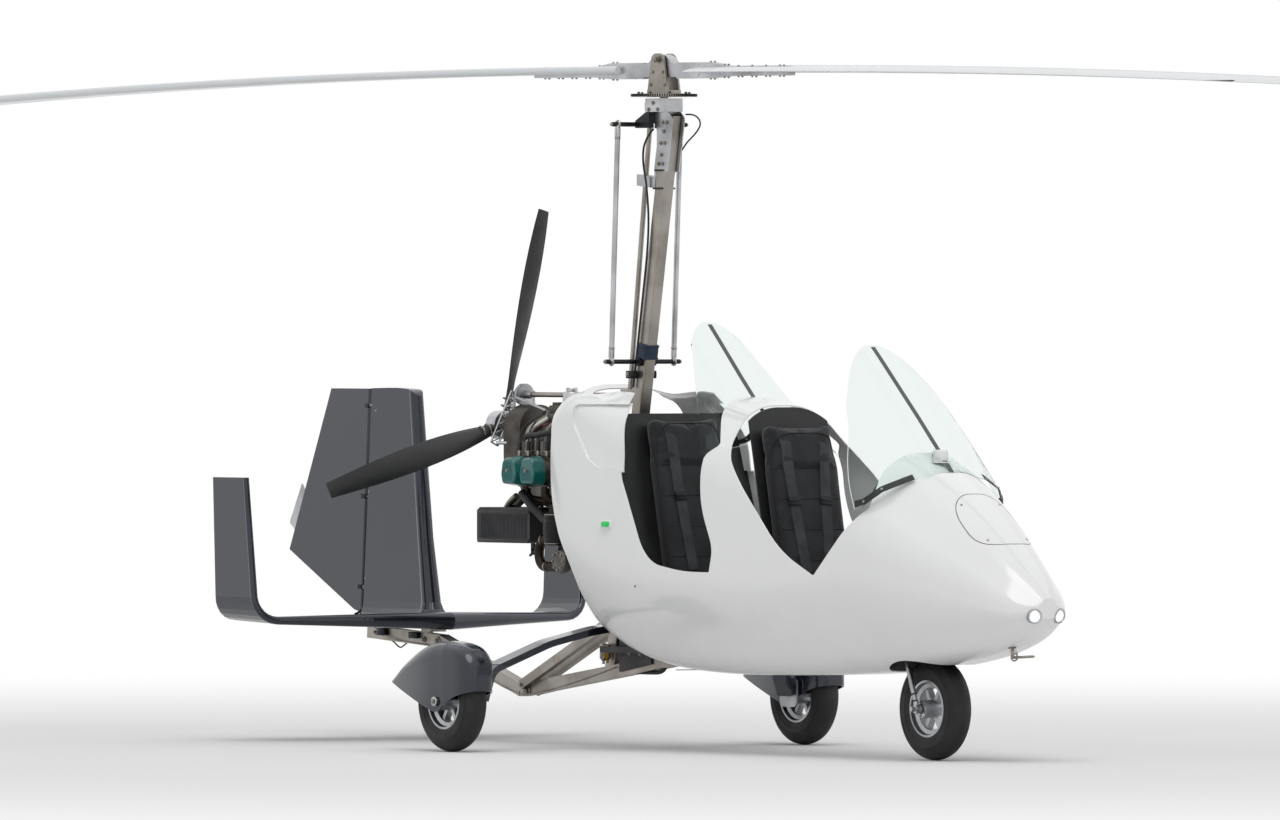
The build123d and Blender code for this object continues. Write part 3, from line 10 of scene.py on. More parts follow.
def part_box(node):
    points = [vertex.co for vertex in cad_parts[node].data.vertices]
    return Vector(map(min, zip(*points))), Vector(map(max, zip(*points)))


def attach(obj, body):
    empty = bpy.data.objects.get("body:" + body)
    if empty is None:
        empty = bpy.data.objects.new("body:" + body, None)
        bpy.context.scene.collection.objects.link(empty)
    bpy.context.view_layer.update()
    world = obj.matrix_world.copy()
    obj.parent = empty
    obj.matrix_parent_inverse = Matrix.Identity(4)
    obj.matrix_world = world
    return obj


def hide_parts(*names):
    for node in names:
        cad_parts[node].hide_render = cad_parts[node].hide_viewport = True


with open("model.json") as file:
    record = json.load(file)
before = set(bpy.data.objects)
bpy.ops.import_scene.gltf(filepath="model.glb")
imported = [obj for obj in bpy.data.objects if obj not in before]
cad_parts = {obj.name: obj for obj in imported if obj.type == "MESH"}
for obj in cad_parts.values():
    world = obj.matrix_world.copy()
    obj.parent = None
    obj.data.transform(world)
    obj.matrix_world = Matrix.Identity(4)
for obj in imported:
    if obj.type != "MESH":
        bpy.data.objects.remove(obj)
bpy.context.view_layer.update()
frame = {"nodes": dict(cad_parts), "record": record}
nodes = frame["nodes"]

# Shader groups: effects that several finishes share


def shader_group(name, inputs, outputs):
    """An empty shader group with its sockets: (name, kind, default) in, (name, kind) out."""
    group = bpy.data.node_groups.new(name, "ShaderNodeTree")
    for label, kind, default in inputs:
        socket = group.interface.new_socket(label, in_out="INPUT", socket_type=kind)
        socket.default_value = default
    for label, kind in outputs:
        group.interface.new_socket(label, in_out="OUTPUT", socket_type=kind)
    return group, group.nodes.new("NodeGroupInput"), group.nodes.new("NodeGroupOutput")


def wire(tree, source, target):
    """Join two sockets of a node tree."""
    tree.links.new(source, target)


def blotch_group():
    """Large soft patches, as of dust, weather or uneven paint, from 0 to 1."""
    group, given, made = shader_group(
        "soft blotches",
        [("Scale", "NodeSocketFloat", 3.0), ("Detail", "NodeSocketFloat", 4.0)],
        [("Patch", "NodeSocketFloat")],
    )
    place = group.nodes.new("ShaderNodeTexCoord")
    noise = group.nodes.new("ShaderNodeTexNoise")
    ramp = group.nodes.new("ShaderNodeMapRange")
    ramp.interpolation_type = "SMOOTHSTEP"
    ramp.inputs["From Min"].default_value = 0.35
    ramp.inputs["From Max"].default_value = 0.7
    wire(group, place.outputs["Object"], noise.inputs["Vector"])
    wire(group, given.outputs["Scale"], noise.inputs["Scale"])
    wire(group, given.outputs["Detail"], noise.inputs["Detail"])
    wire(group, noise.outputs["Fac"], ramp.inputs["Value"])
    wire(group, ramp.outputs["Result"], made.inputs["Patch"])
    return group


def dust_group():
    """Road dust that gathers low on the object, from 0 to 1."""
    group, given, made = shader_group(
        "settled dust",
        [
            ("Low", "NodeSocketFloat", 0.2),
            ("High", "NodeSocketFloat", 0.9),
            ("Amount", "NodeSocketFloat", 0.5),
        ],
        [("Dust", "NodeSocketFloat")],
    )
    place = group.nodes.new("ShaderNodeTexCoord")
    split = group.nodes.new("ShaderNodeSeparateXYZ")
    fall = group.nodes.new("ShaderNodeMapRange")
    noise = group.nodes.new("ShaderNodeTexNoise")
    noise.inputs["Scale"].default_value = 9.0
    noise.inputs["Detail"].default_value = 8.0
    both = group.nodes.new("ShaderNodeMath")
    both.operation = "MULTIPLY"
    scaled = group.nodes.new("ShaderNodeMath")
    scaled.operation = "MULTIPLY"
    wire(group, place.outputs["Object"], split.inputs["Vector"])
    wire(group, place.outputs["Object"], noise.inputs["Vector"])
    wire(group, split.outputs["Z"], fall.inputs["Value"])
    wire(group, given.outputs["High"], fall.inputs["From Min"])
    wire(group, given.outputs["Low"], fall.inputs["From Max"])
    wire(group, fall.outputs["Result"], both.inputs[0])
    wire(group, noise.outputs["Fac"], both.inputs[1])
    wire(group, both.outputs["Value"], scaled.inputs[0])
    wire(group, given.outputs["Amount"], scaled.inputs[1])
    wire(group, scaled.outputs["Value"], made.inputs["Dust"])
    return group


def grain_group():
    """Fine surface grain as a height, stretched along one way for brushed metal."""
    group, given, made = shader_group(
        "surface grain",
        [("Scale", "NodeSocketFloat", 400.0), ("Stretch", "NodeSocketVector", (1.0, 1.0, 1.0))],
        [("Height", "NodeSocketFloat")],
    )
    place = group.nodes.new("ShaderNodeTexCoord")
    stretch = group.nodes.new("ShaderNodeVectorMath")
    stretch.operation = "MULTIPLY"
    noise = group.nodes.new("ShaderNodeTexNoise")
    noise.inputs["Detail"].default_value = 3.0
    wire(group, place.outputs["Object"], stretch.inputs[0])
    wire(group, given.outputs["Stretch"], stretch.inputs[1])
    wire(group, stretch.outputs["Vector"], noise.inputs["Vector"])
    wire(group, given.outputs["Scale"], noise.inputs["Scale"])
    wire(group, noise.outputs["Fac"], made.inputs["Height"])
    return group


def weave_group():
    """Crossing threads of a woven cloth as a height."""
    group, given, made = shader_group(
        "plain weave",
        [("Threads", "NodeSocketFloat", 700.0)],
        [("Height", "NodeSocketFloat")],
    )
    place = group.nodes.new("ShaderNodeTexCoord")
    waves = []
    for way in ("X", "Y", "Z"):
        wave = group.nodes.new("ShaderNodeTexWave")
        wave.bands_direction = way
        wave.wave_profile = "SIN"
        wave.inputs["Distortion"].default_value = 0.6
        wave.inputs["Detail"].default_value = 1.0
        wire(group, place.outputs["Object"], wave.inputs["Vector"])
        wire(group, given.outputs["Threads"], wave.inputs["Scale"])
        waves.append(wave)
    first = group.nodes.new("ShaderNodeMath")
    first.operation = "MULTIPLY"
    second = group.nodes.new("ShaderNodeMath")
    second.operation = "ADD"
    wire(group, waves[0].outputs["Fac"], first.inputs[0])
    wire(group, waves[1].outputs["Fac"], first.inputs[1])
    wire(group, first.outputs["Value"], second.inputs[0])
    wire(group, waves[2].outputs["Fac"], second.inputs[1])
    wire(group, second.outputs["Value"], made.inputs["Height"])
    return group


BLOTCH = blotch_group()
DUST = dust_group()
GRAIN = grain_group()
WEAVE = weave_group()

# Finishes


def linear(code):
    """A written colour as linear red, green, blue and alpha."""
    parts = [int(code[i:i + 2], 16) / 255 for i in (1, 3, 5)]
    return tuple(p / 12.92 if p < 0.04045 else ((p + 0.055) / 1.055) ** 2.4 for p in parts) + (1.0,)


def use_group(material, group, **values):
    """Place a shared group in a material with its own values."""
    node = material.node_tree.nodes.new("ShaderNodeGroup")
    node.node_tree = group
    for label, value in values.items():
        node.inputs[label].default_value = value
    return node


def finish_base(name, colour, rough, metal=0.0, **sockets):
    """A new material with its plain values on the shader's own sockets."""
    material = bpy.data.materials.new(name)
    material.use_nodes = True
    shader = material.node_tree.nodes["Principled BSDF"]
    shader.inputs["Base Color"].default_value = linear(colour)
    shader.inputs["Roughness"].default_value = rough
    shader.inputs["Metallic"].default_value = metal
    for label, value in sockets.items():
        shader.inputs[label.replace("_", " ")].default_value = value
    return material, shader


def tint(material, mask, plain, other, target):
    """Mix two written colours by a mask into a colour socket."""
    mix = material.node_tree.nodes.new("ShaderNodeMix")
    mix.data_type = "RGBA"
    mix.inputs["A"].default_value = linear(plain)
    mix.inputs["B"].default_value = linear(other)
    wire(material.node_tree, mask, mix.inputs["Factor"])
    wire(material.node_tree, mix.outputs["Result"], target)


def vary(material, mask, low, high, target):
    """A value that runs from low to high with a mask."""
    ramp = material.node_tree.nodes.new("ShaderNodeMapRange")
    ramp.inputs["To Min"].default_value = low
    ramp.inputs["To Max"].default_value = high
    wire(material.node_tree, mask, ramp.inputs["Value"])
    wire(material.node_tree, ramp.outputs["Result"], target)


def bump(material, shader, height, strength, distance):
    """Raise the surface by a height."""
    node = material.node_tree.nodes.new("ShaderNodeBump")
    node.inputs["Strength"].default_value = strength
    node.inputs["Distance"].default_value = distance
    wire(material.node_tree, height, node.inputs["Height"])
    wire(material.node_tree, node.outputs["Normal"], shader.inputs["Normal"])


def painted(name, colour, dusty, rough=0.16, peel=0.02, dust=0.35, coat=0.6, metal=0.0):
    """Sprayed gloss paint: orange peel, faintly uneven gloss and dust low down."""
    material, shader = finish_base(name, colour, rough, metal, Coat_Weight=coat, Coat_Roughness=0.05)
    patch = use_group(material, BLOTCH, Scale=2.2)
    film = use_group(material, DUST, Low=0.1, High=1.0, Amount=dust)
    tint(material, film.outputs["Dust"], colour, dusty, shader.inputs["Base Color"])
    vary(material, patch.outputs["Patch"], rough, rough + 0.1, shader.inputs["Roughness"])
    grain = use_group(material, GRAIN, Scale=160.0)
    bump(material, shader, grain.outputs["Height"], peel, 0.001)
    return material


def bare_metal(name, colour, stain, rough, stretch, scale=260.0, lift=0.12):
    """Bare metal with brushed or cast grain and faint stains."""
    material, shader = finish_base(name, colour, rough, 1.0)
    patch = use_group(material, BLOTCH, Scale=7.0)
    tint(material, patch.outputs["Patch"], colour, stain, shader.inputs["Base Color"])
    grain = use_group(material, GRAIN, Scale=scale, Stretch=stretch)
    vary(material, grain.outputs["Height"], rough - 0.08, rough + 0.14, shader.inputs["Roughness"])
    bump(material, shader, grain.outputs["Height"], lift, 0.0006)
    return material


def moulded(name, colour, worn, rough, scale=900.0, lift=0.15, dust=0.3):
    """Moulded plastic or rubber: fine texture, dust low down and uneven gloss."""
    material, shader = finish_base(name, colour, rough)
    film = use_group(material, DUST, Low=0.0, High=1.3, Amount=dust)
    tint(material, film.outputs["Dust"], colour, worn, shader.inputs["Base Color"])
    patch = use_group(material, BLOTCH, Scale=11.0)
    vary(material, patch.outputs["Patch"], rough - 0.05, rough + 0.1, shader.inputs["Roughness"])
    grain = use_group(material, GRAIN, Scale=scale)
    bump(material, shader, grain.outputs["Height"], lift, 0.0006)
    return material


def clear_sheet(name, colour, rough):
    """Clear acrylic with faint wiping marks."""
    material, shader = finish_base(name, colour, rough, Transmission_Weight=1.0, IOR=1.12)
    grain = use_group(material, GRAIN, Scale=30.0, Stretch=(1.0, 1.0, 0.2))
    vary(material, grain.outputs["Height"], rough, rough + 0.05, shader.inputs["Roughness"])
    return material


def lit_lens_and_painted_glow(name, colour, glow, strength):
    """A lamp lens that is switched on. The same glow is also put on the dials' ticks and hands, which are no
    lamp: there it is painted glow.
    """
    material, shader = finish_base(name, colour, 0.12, Emission_Strength=strength)
    shader.inputs["Emission Color"].default_value = linear(glow)
    grain = use_group(material, GRAIN, Scale=300.0)
    bump(material, shader, grain.outputs["Height"], 0.2, 0.001)
    return material


def woven(name, colour, worn, threads, rough=0.85):
    """Woven cloth with slightly paler patches."""
    material, shader = finish_base(name, colour, rough, Sheen_Weight=0.3, Sheen_Roughness=0.4)
    patch = use_group(material, BLOTCH, Scale=14.0)
    tint(material, patch.outputs["Patch"], colour, worn, shader.inputs["Base Color"])
    cloth = use_group(material, WEAVE, Threads=threads)
    bump(material, shader, cloth.outputs["Height"], 0.35, 0.0008)
    return material


# Grain that is as long one way as another, and grain drawn out upwards as by brushing
EVEN = (1.0, 1.0, 1.0)
BRUSHED = (1.0, 1.0, 0.06)

FINISH = {
    "white_gloss": painted("white gelcoat", "#eceded", "#b9b4aa", rough=0.14, dust=0.25),
    "dark_metallic": painted(
        "dark metallic paint", "#1e2430", "#4c4b49", rough=0.2, peel=0.015, dust=0.2, metal=0.5
    ),
    "rotor_white": painted("blade skin", "#d9dcde", "#9d9c99", rough=0.28, dust=0.1, coat=0.3),
    "clear_acrylic": clear_sheet("clear acrylic", "#eef4f2", 0.0),
    "stainless": bare_metal("brushed stainless", "#a5a09a", "#8a847c", 0.34, BRUSHED),
    "alloy": bare_metal("machined alloy", "#bfc1c4", "#9a9b9d", 0.3, EVEN, 420.0, 0.06),
    "steel_dark": bare_metal("dark steel", "#3a3b3e", "#24252a", 0.42, EVEN, 300.0, 0.1),
    "tyre_rubber": moulded("tyre rubber", "#101113", "#2b2a28", 0.62, 500.0, 0.15, 0.3),
    "black_composite": moulded("black composite", "#151618", "#3c3a37", 0.45, 900.0, 0.12, 0.35),
    "seat_fabric": woven("black seat cloth", "#151619", "#22242a", 900.0),
    "cover_green": painted("teal enamel", "#0d5f5c", "#4a5a50", rough=0.3, dust=0.1),
    "engine_grey": bare_metal("cast engine alloy", "#77746f", "#4b4742", 0.5, EVEN, 180.0, 0.35),
    "exhaust_steel": bare_metal("heated exhaust steel", "#3d3630", "#241f1c", 0.45, EVEN, 60.0, 0.1),
    "hose_black": moulded("black rubber hose", "#17181a", "#3a3835", 0.55, 700.0, 0.1, 0.2),
    "lamp_glass": lit_lens_and_painted_glow("landing lamp lens", "#f4f6fa", "#ffffff", 0.6),
    "nav_green": lit_lens_and_painted_glow("green lamp lens", "#1b8f45", "#2be06a", 0.35),
    "nav_red": lit_lens_and_painted_glow("red lamp lens", "#a01c1c", "#e03020", 0.35),
}

# The finish and slot of the two commonest kinds of new piece
HOSE = (FINISH["hose_black"], "hose_black")
STEEL = (FINISH["stainless"], "stainless")
# Nodes whose look differs from the rest of their slot
NODE_FINISH = {"intake_pipes": bare_metal("cast pipe alloy", "#918e88", "#5d5a55", 0.42, EVEN, 240.0, 0.2)}

slot_of = {row["node"]: row["material_slot"] for row in frame["record"]["subparts"]}
for node_name, node in nodes.items():
    node.data.materials.clear()
    node.data.materials.append(NODE_FINISH.get(node_name, FINISH[slot_of[node_name]]))

# Mesh helpers

X_WAY, Y_WAY, Z_WAY = Vector((1, 0, 0)), Vector((0, 1, 0)), Vector((0, 0, 1))


def frame_along(way, at):
    """A matrix that turns local Z to a direction and puts it at a point."""
    return Matrix.Translation(at) @ Vector(way).to_track_quat("Z", "Y").to_matrix().to_4x4()


def made_edges(made):
    """The edges of the shape that an operator has just made, each once and always in the same order."""
    return list(dict.fromkeys(edge for vert in made["verts"] for edge in vert.link_edges))


def soften(bm, edges, size, steps=2):
    """Round or chamfer edges."""
    bmesh.ops.bevel(
        bm,
        geom=edges,
        offset=size,
        segments=steps,
        profile=0.5,
        affect="EDGES",
        clamp_overlap=True,
        material=-1,
    )


def add_disc(bm, at, way, radius, length, sides=20, chamfer=0.0, end_radius=None):
    """A round block centred at a point, with softened rims, or a taper with an end radius."""
    made = bmesh.ops.create_cone(
        bm,
        cap_ends=True,
        segments=sides,
        radius1=radius,
        radius2=radius if end_radius is None else end_radius,
        depth=length,
        matrix=frame_along(way, at),
    )
    if chamfer:
        rims = [edge for edge in made_edges(made) if any(len(face.verts) > 4 for face in edge.link_faces)]
        soften(bm, rims, chamfer)


def add_bar(bm, start, end, radius, sides=12, chamfer=0.0):
    """A round bar between two points."""
    start, end = Vector(start), Vector(end)
    add_disc(bm, (start + end) / 2, end - start, radius, (end - start).length, sides, chamfer)


def add_block(bm, at, size, turn=Matrix(), chamfer=0.002, steps=2):
    """A box with softened edges, turned about its own middle."""
    matrix = Matrix.Translation(at) @ turn @ Matrix.Diagonal((*size, 1.0))
    made = bmesh.ops.create_cube(bm, size=1.0, matrix=matrix)
    soften(bm, made_edges(made), chamfer, steps)


def full_spin(bm, geometry, steps):
    """Spin a section once round the local Z axis into a closed shape."""
    bmesh.ops.spin(
        bm, geom=geometry, cent=(0, 0, 0), axis=(0, 0, 1), angle=2 * math.pi, steps=steps, use_merge=True
    )


def add_ring(bm, at, way, radius, thick, steps=28, section=8):
    """A round ring about an axis, as thick as twice its section's radius."""
    before = set(bm.verts)
    start = Matrix.Translation((radius, 0, 0)) @ Matrix.Rotation(math.pi / 2, 4, "X")
    made = bmesh.ops.create_circle(bm, cap_ends=False, segments=section, radius=thick, matrix=start)
    full_spin(bm, made["verts"] + made_edges(made), steps)
    new = [vert for vert in bm.verts if vert not in before]
    bmesh.ops.transform(bm, matrix=frame_along(way, at), verts=new)


def add_lathe(bm, profile, at, way, steps=32):
    """A turned shape: a profile of (radius, height) spun about an axis."""
    before = set(bm.verts)
    verts = [bm.verts.new((radius, 0, height)) for radius, height in profile]
    edges = [bm.edges.new(pair) for pair in zip(verts, verts[1:])]
    full_spin(bm, verts + edges, steps)
    new = [vert for vert in bm.verts if vert not in before]
    bmesh.ops.remove_doubles(bm, verts=new, dist=1e-6)
    new = [vert for vert in bm.verts if vert not in before]
    bmesh.ops.transform(bm, matrix=frame_along(way, at), verts=new)


def add_bolt(bm, at, way, size=0.010, washer=True):
    """A hexagon bolt head on its washer, standing on a surface point."""
    at, way = Vector(at), Vector(way).normalized()
    if washer:
        add_disc(bm, at + way * size * 0.08, way, size * 1.1, size * 0.16, 16)
    add_disc(bm, at + way * size * 0.5, way, size * 0.85, size * 0.7, 6, size * 0.1)
    add_disc(bm, at + way * size * 0.95, way, size * 0.42, size * 0.3, 10, size * 0.06)


def add_screw(bm, at, way, size=0.005):
    """A low round screw head on a surface point."""
    at, way = Vector(at), Vector(way).normalized()
    add_disc(bm, at + way * size * 0.2, way, size, size * 0.5, 14, 0.0, size * 0.7)
    add_disc(bm, at + way * size * 0.5, way, size * 0.4, size * 0.12, 6)


def add_strip(bm, places, width, thick, closed=False):
    """A flat band along places, each a point with its surface normal."""
    count = len(places)
    first = None
    edge = None
    new = []
    for index, (point, normal) in enumerate(places):
        ahead = places[(index + 1) % count][0] if closed or index + 1 < count else point
        back = places[index - 1][0] if closed or index else point
        side = (ahead - back).cross(normal).normalized() * width / 2
        if edge is None:
            pair = [bm.verts.new(point - side), bm.verts.new(point + side)]
            edge = bm.edges.new(pair)
            first = edge
            continue
        made = bmesh.ops.extrude_edge_only(bm, edges=[edge])["geom"]
        drawn = [part for part in made if isinstance(part, bmesh.types.BMEdge)]
        edge = next(part for part in drawn if not set(part.verts) & set(pair))
        old, pair = pair, [None, None]
        for vert in edge.verts:
            near = min((0, 1), key=lambda k: (vert.co - old[k].co).length)
            pair[near] = vert
        pair[0].co, pair[1].co = point - side, point + side
        new += [part for part in made if isinstance(part, bmesh.types.BMFace)]
    if closed:
        new += bmesh.ops.bridge_loops(bm, edges=[first, edge])["faces"]
    bmesh.ops.recalc_face_normals(bm, faces=new)
    if new[0].normal.dot(places[0][1]) < 0:
        bmesh.ops.reverse_faces(bm, faces=new)
    bmesh.ops.solidify(bm, geom=new, thickness=thick)


def finish_piece(name, bm, material, slot, body="airframe", sharp=35.0):
    """Turn a built mesh into a piece of the object, riding on a body."""
    bmesh.ops.recalc_face_normals(bm, faces=bm.faces)
    mesh = bpy.data.meshes.new(name)
    bm.to_mesh(mesh)
    bm.free()
    mesh.shade_smooth()
    mesh.set_sharp_from_angle(angle=math.radians(sharp))
    mesh.materials.append(material)
    piece = bpy.data.objects.new(name, mesh)
    bpy.context.scene.collection.objects.link(piece)
    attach(piece, body)
    return piece


def lines_piece(name, routes, radius, material, slot, body="airframe"):
    """Hoses, cables or piping along smooth lines near their guide points, as one mesh."""
    curve = bpy.data.curves.new(name + "_line", "CURVE")
    curve.dimensions = "3D"
    curve.bevel_depth = radius
    curve.bevel_resolution = 2 if radius < 0.006 else 4
    curve.use_fill_caps = True
    curve.resolution_u = 5
    for route in routes:
        spline = curve.splines.new("NURBS")
        spline.points.add(len(route) - 1)
        for point, place in zip(spline.points, route):
            point.co = (*place, 1.0)
        spline.order_u = 3
        spline.use_endpoint_u = True
    drawn = bpy.data.objects.new(name + "_line", curve)
    bm = bmesh.new()
    mesh = bpy.data.meshes.new_from_object(drawn)
    bm.from_mesh(mesh)
    bpy.data.meshes.remove(mesh)
    bpy.data.objects.remove(drawn)
    return finish_piece(name, bm, material, slot, body, 50.0)


def tree_of(mesh):
    """A search tree over a mesh, for points on its surface."""
    corners = [vert.co for vert in mesh.vertices]
    return BVHTree.FromPolygons(corners, [face.vertices for face in mesh.polygons])


def node_tree(node_name):
    """A search tree over a node's mesh."""
    return tree_of(nodes[node_name].data)


def cast(tree, start, way):
    """The first surface point along a ray, with its normal facing the start."""
    way = Vector(way).normalized()
    point, normal = tree.ray_cast(Vector(start), way)[:2]
    if point is None:
        return None
    return point, normal if normal.dot(way) < 0 else -normal


def cast_row(tree, rays):
    """The surface points of a row of rays, without the rays that miss."""
    return [hit for hit in (cast(tree, start, way) for start, way in rays) if hit]


def lifted(places, height):
    """Surface places moved out along their normals."""
    return [(point + normal * height, normal) for point, normal in places]


def circle_ways(count, first, second, shift=0.0):
    """Evenly spread directions in the plane of two axes, as (angle, direction)."""
    turns = [2 * math.pi * (step + shift) / count for step in range(count)]
    return [(turn, Vector(first) * math.cos(turn) + Vector(second) * math.sin(turn)) for turn in turns]


def rotation_to(along, across, out):
    """The turn that puts local X, Y and Z on three directions."""
    return Matrix((along, across, out)).transposed().to_4x4()


# Seats

WEBBING = woven("harness webbing", "#202226", "#33353a", 1500.0, 0.7)
SEAM = moulded("seat piping", "#0c0d0f", "#26272a", 0.7, 1200.0, 0.1, 0.1)
SEAM_RADIUS, SEAM_LIFT = 0.0022, 0.0006
PIPING_RADIUS, PIPING_LIFT = 0.0034, 0.001
BELT_WIDTH, BELT_THICKNESS, BELT_LIFT = 0.046, 0.0022, 0.004
# How far ahead of a pad the rays start that find its face
RAY_REACH = 0.4


def skin_copy(node_name, merge=1e-5):
    """A merged copy of a node's mesh as a bmesh."""
    bm = bmesh.new()
    bm.from_mesh(nodes[node_name].data)
    bmesh.ops.remove_doubles(bm, verts=bm.verts, dist=merge)
    bmesh.ops.dissolve_limit(bm, angle_limit=math.radians(1), verts=bm.verts, edges=bm.edges)
    return bm


def baked(piece):
    """Replace a piece's mesh by what its modifiers make of it."""
    graph = bpy.context.evaluated_depsgraph_get()
    mesh = bpy.data.meshes.new_from_object(piece.evaluated_get(graph))
    old = piece.data
    piece.modifiers.clear()
    piece.data = mesh
    bpy.data.meshes.remove(old)


def remeshed(piece, voxel):
    """Give a piece an even mesh of small faces."""
    grid = piece.modifiers.new("grid", "REMESH")
    grid.mode = "VOXEL"
    grid.voxel_size = voxel
    baked(piece)


def puffed(piece, held, cap, pressure=4.0, frames=20):
    """Swell a piece like stuffed cloth. What the held function names stays in place."""
    grip = piece.vertex_groups.new(name="sewn")
    start = [vert.co.copy() for vert in piece.data.vertices]
    for vert in piece.data.vertices:
        weight = held(vert.co)
        if weight > 0.0:
            grip.add([vert.index], weight, "REPLACE")
    cloth = piece.modifiers.new("cloth", "CLOTH")
    settings = cloth.settings
    settings.vertex_group_mass = "sewn"
    settings.use_pressure = True
    settings.uniform_pressure_force = pressure
    settings.effector_weights.gravity = 0.0
    settings.tension_stiffness = 12.0
    settings.compression_stiffness = 6.0
    settings.bending_stiffness = 0.8
    cloth.point_cache.frame_start = 1
    cloth.point_cache.frame_end = frames
    for frame_number in range(1, frames + 1):
        bpy.context.scene.frame_set(frame_number)
    baked(piece)
    bpy.context.scene.frame_set(1)
    for vert, rest in zip(piece.data.vertices, start):
        moved = vert.co - rest
        if moved.length > cap:
            vert.co = rest + moved * (cap / moved.length)


def seat_pad(name, node_name, channels, way, cap=0.014, voxel=0.0075):
    """A stuffed seat pad in the space of its plain node, sewn along channels across it."""
    low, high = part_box(node_name)
    bm = skin_copy(node_name)
    middle = (Vector(low) + Vector(high)) / 2
    spans = Vector(high) - Vector(low)
    shrink = [1 - 2 * cap * 0.8 / span for span in spans]
    bmesh.ops.scale(bm, vec=shrink, space=Matrix.Translation(-middle), verts=bm.verts)
    piece = finish_piece(name, bm, FINISH["seat_fabric"], "seat_fabric", sharp=80)
    remeshed(piece, voxel)
    marks = [middle + Vector(way) * step for step in channels]

    def held(place):
        near = min(abs((place - mark).dot(Vector(way).normalized())) for mark in marks)
        return 1.0 if near < voxel * 0.7 else 0.0

    puffed(piece, held, cap)
    smooth = piece.modifiers.new("smooth", "SUBSURF")
    smooth.levels = smooth.render_levels = 1
    baked(piece)
    piece.data.shade_smooth()
    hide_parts(node_name)
    return piece, marks


def channel_lines(name, piece, marks, facing, half_width):
    """Sewn lines that lie in the channels of a pad, on the side that faces a way."""
    tree = tree_of(piece.data)
    facing = Vector(facing).normalized()
    routes = []
    for mark in marks:
        shares = [step / 12 - 1 for step in range(25)]
        starts = [mark + Vector((0, half_width * share, 0)) + facing * RAY_REACH for share in shares]
        hits = cast_row(tree, [(start, -facing) for start in starts])
        if len(hits) > 4:
            routes.append([point for point, _ in lifted(hits, SEAM_LIFT)])
    lines_piece(name, routes, SEAM_RADIUS, SEAM, "seat_fabric")


def squared(share, power):
    """A sine or cosine pushed outwards, so that a circle turns into a rounded square."""
    return math.copysign(abs(share) ** power, share)


def pad_piping(name, piece, low, high, facing, inset=0.012):
    """A cord sewn round the edge of a pad's face."""
    tree = tree_of(piece.data)
    facing = Vector(facing).normalized()
    up = Y_WAY.cross(facing).normalized()
    if up.z < -0.2:
        up = -up
    middle = (Vector(low) + Vector(high)) / 2
    half_up = max(abs((Vector(corner) - middle).dot(up)) for corner in (low, high)) - inset
    half_side = (high[1] - low[1]) / 2 - inset
    rays = []
    for turn, _ in circle_ways(72, Y_WAY, up):
        across, along = (squared(share, 0.35) for share in (math.cos(turn), math.sin(turn)))
        start = middle + Vector((0, across * half_side, 0)) + up * (along * half_up) + facing * RAY_REACH
        rays.append((start, -facing))
    places = [point for point, _ in lifted(cast_row(tree, rays), PIPING_LIFT)]
    if len(places) > 20:
        lines_piece(name, [places + places[:2]], PIPING_RADIUS, SEAM, "seat_fabric")


def seats():
    """The four stuffed pads with their sewn lines."""
    back_way = Vector((-0.233, 0, 0.972))
    back_channels = (-0.24, -0.12, 0.0, 0.12, 0.24)
    # Columns: piece, node, channels from the middle, way across them, way that the face looks
    rows = (
        ("front_seat_pad", "front_seat_cushion", (-0.09, 0.0, 0.09), X_WAY, Z_WAY),
        ("front_back_pad", "front_seat_back", back_channels, back_way, (1, 0, 0.2)),
        ("rear_seat_pad", "rear_seat_cushion", (-0.08, 0.0, 0.08), X_WAY, Z_WAY),
        ("rear_back_pad", "rear_seat_back", back_channels, back_way, (1, 0, 0.1)),
    )
    for name, node_name, channels, way, facing in rows:
        piece, marks = seat_pad(name, node_name, channels, way)
        low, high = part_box(node_name)
        channel_lines(name + "_seams", piece, marks, facing, (high[1] - low[1]) / 2 - 0.01)
        pad_piping(name + "_piping", piece, low, high, facing)


def belt_route(tree, start, end, facing, steps=9):
    """A belt's path laid on a pad, from a line ahead of it."""
    guides = [start.lerp(end, step / steps) for step in range(steps)]
    rays = [(guide + Vector(facing) * RAY_REACH, -Vector(facing)) for guide in guides]
    return lifted(cast_row(tree, rays), BELT_LIFT)


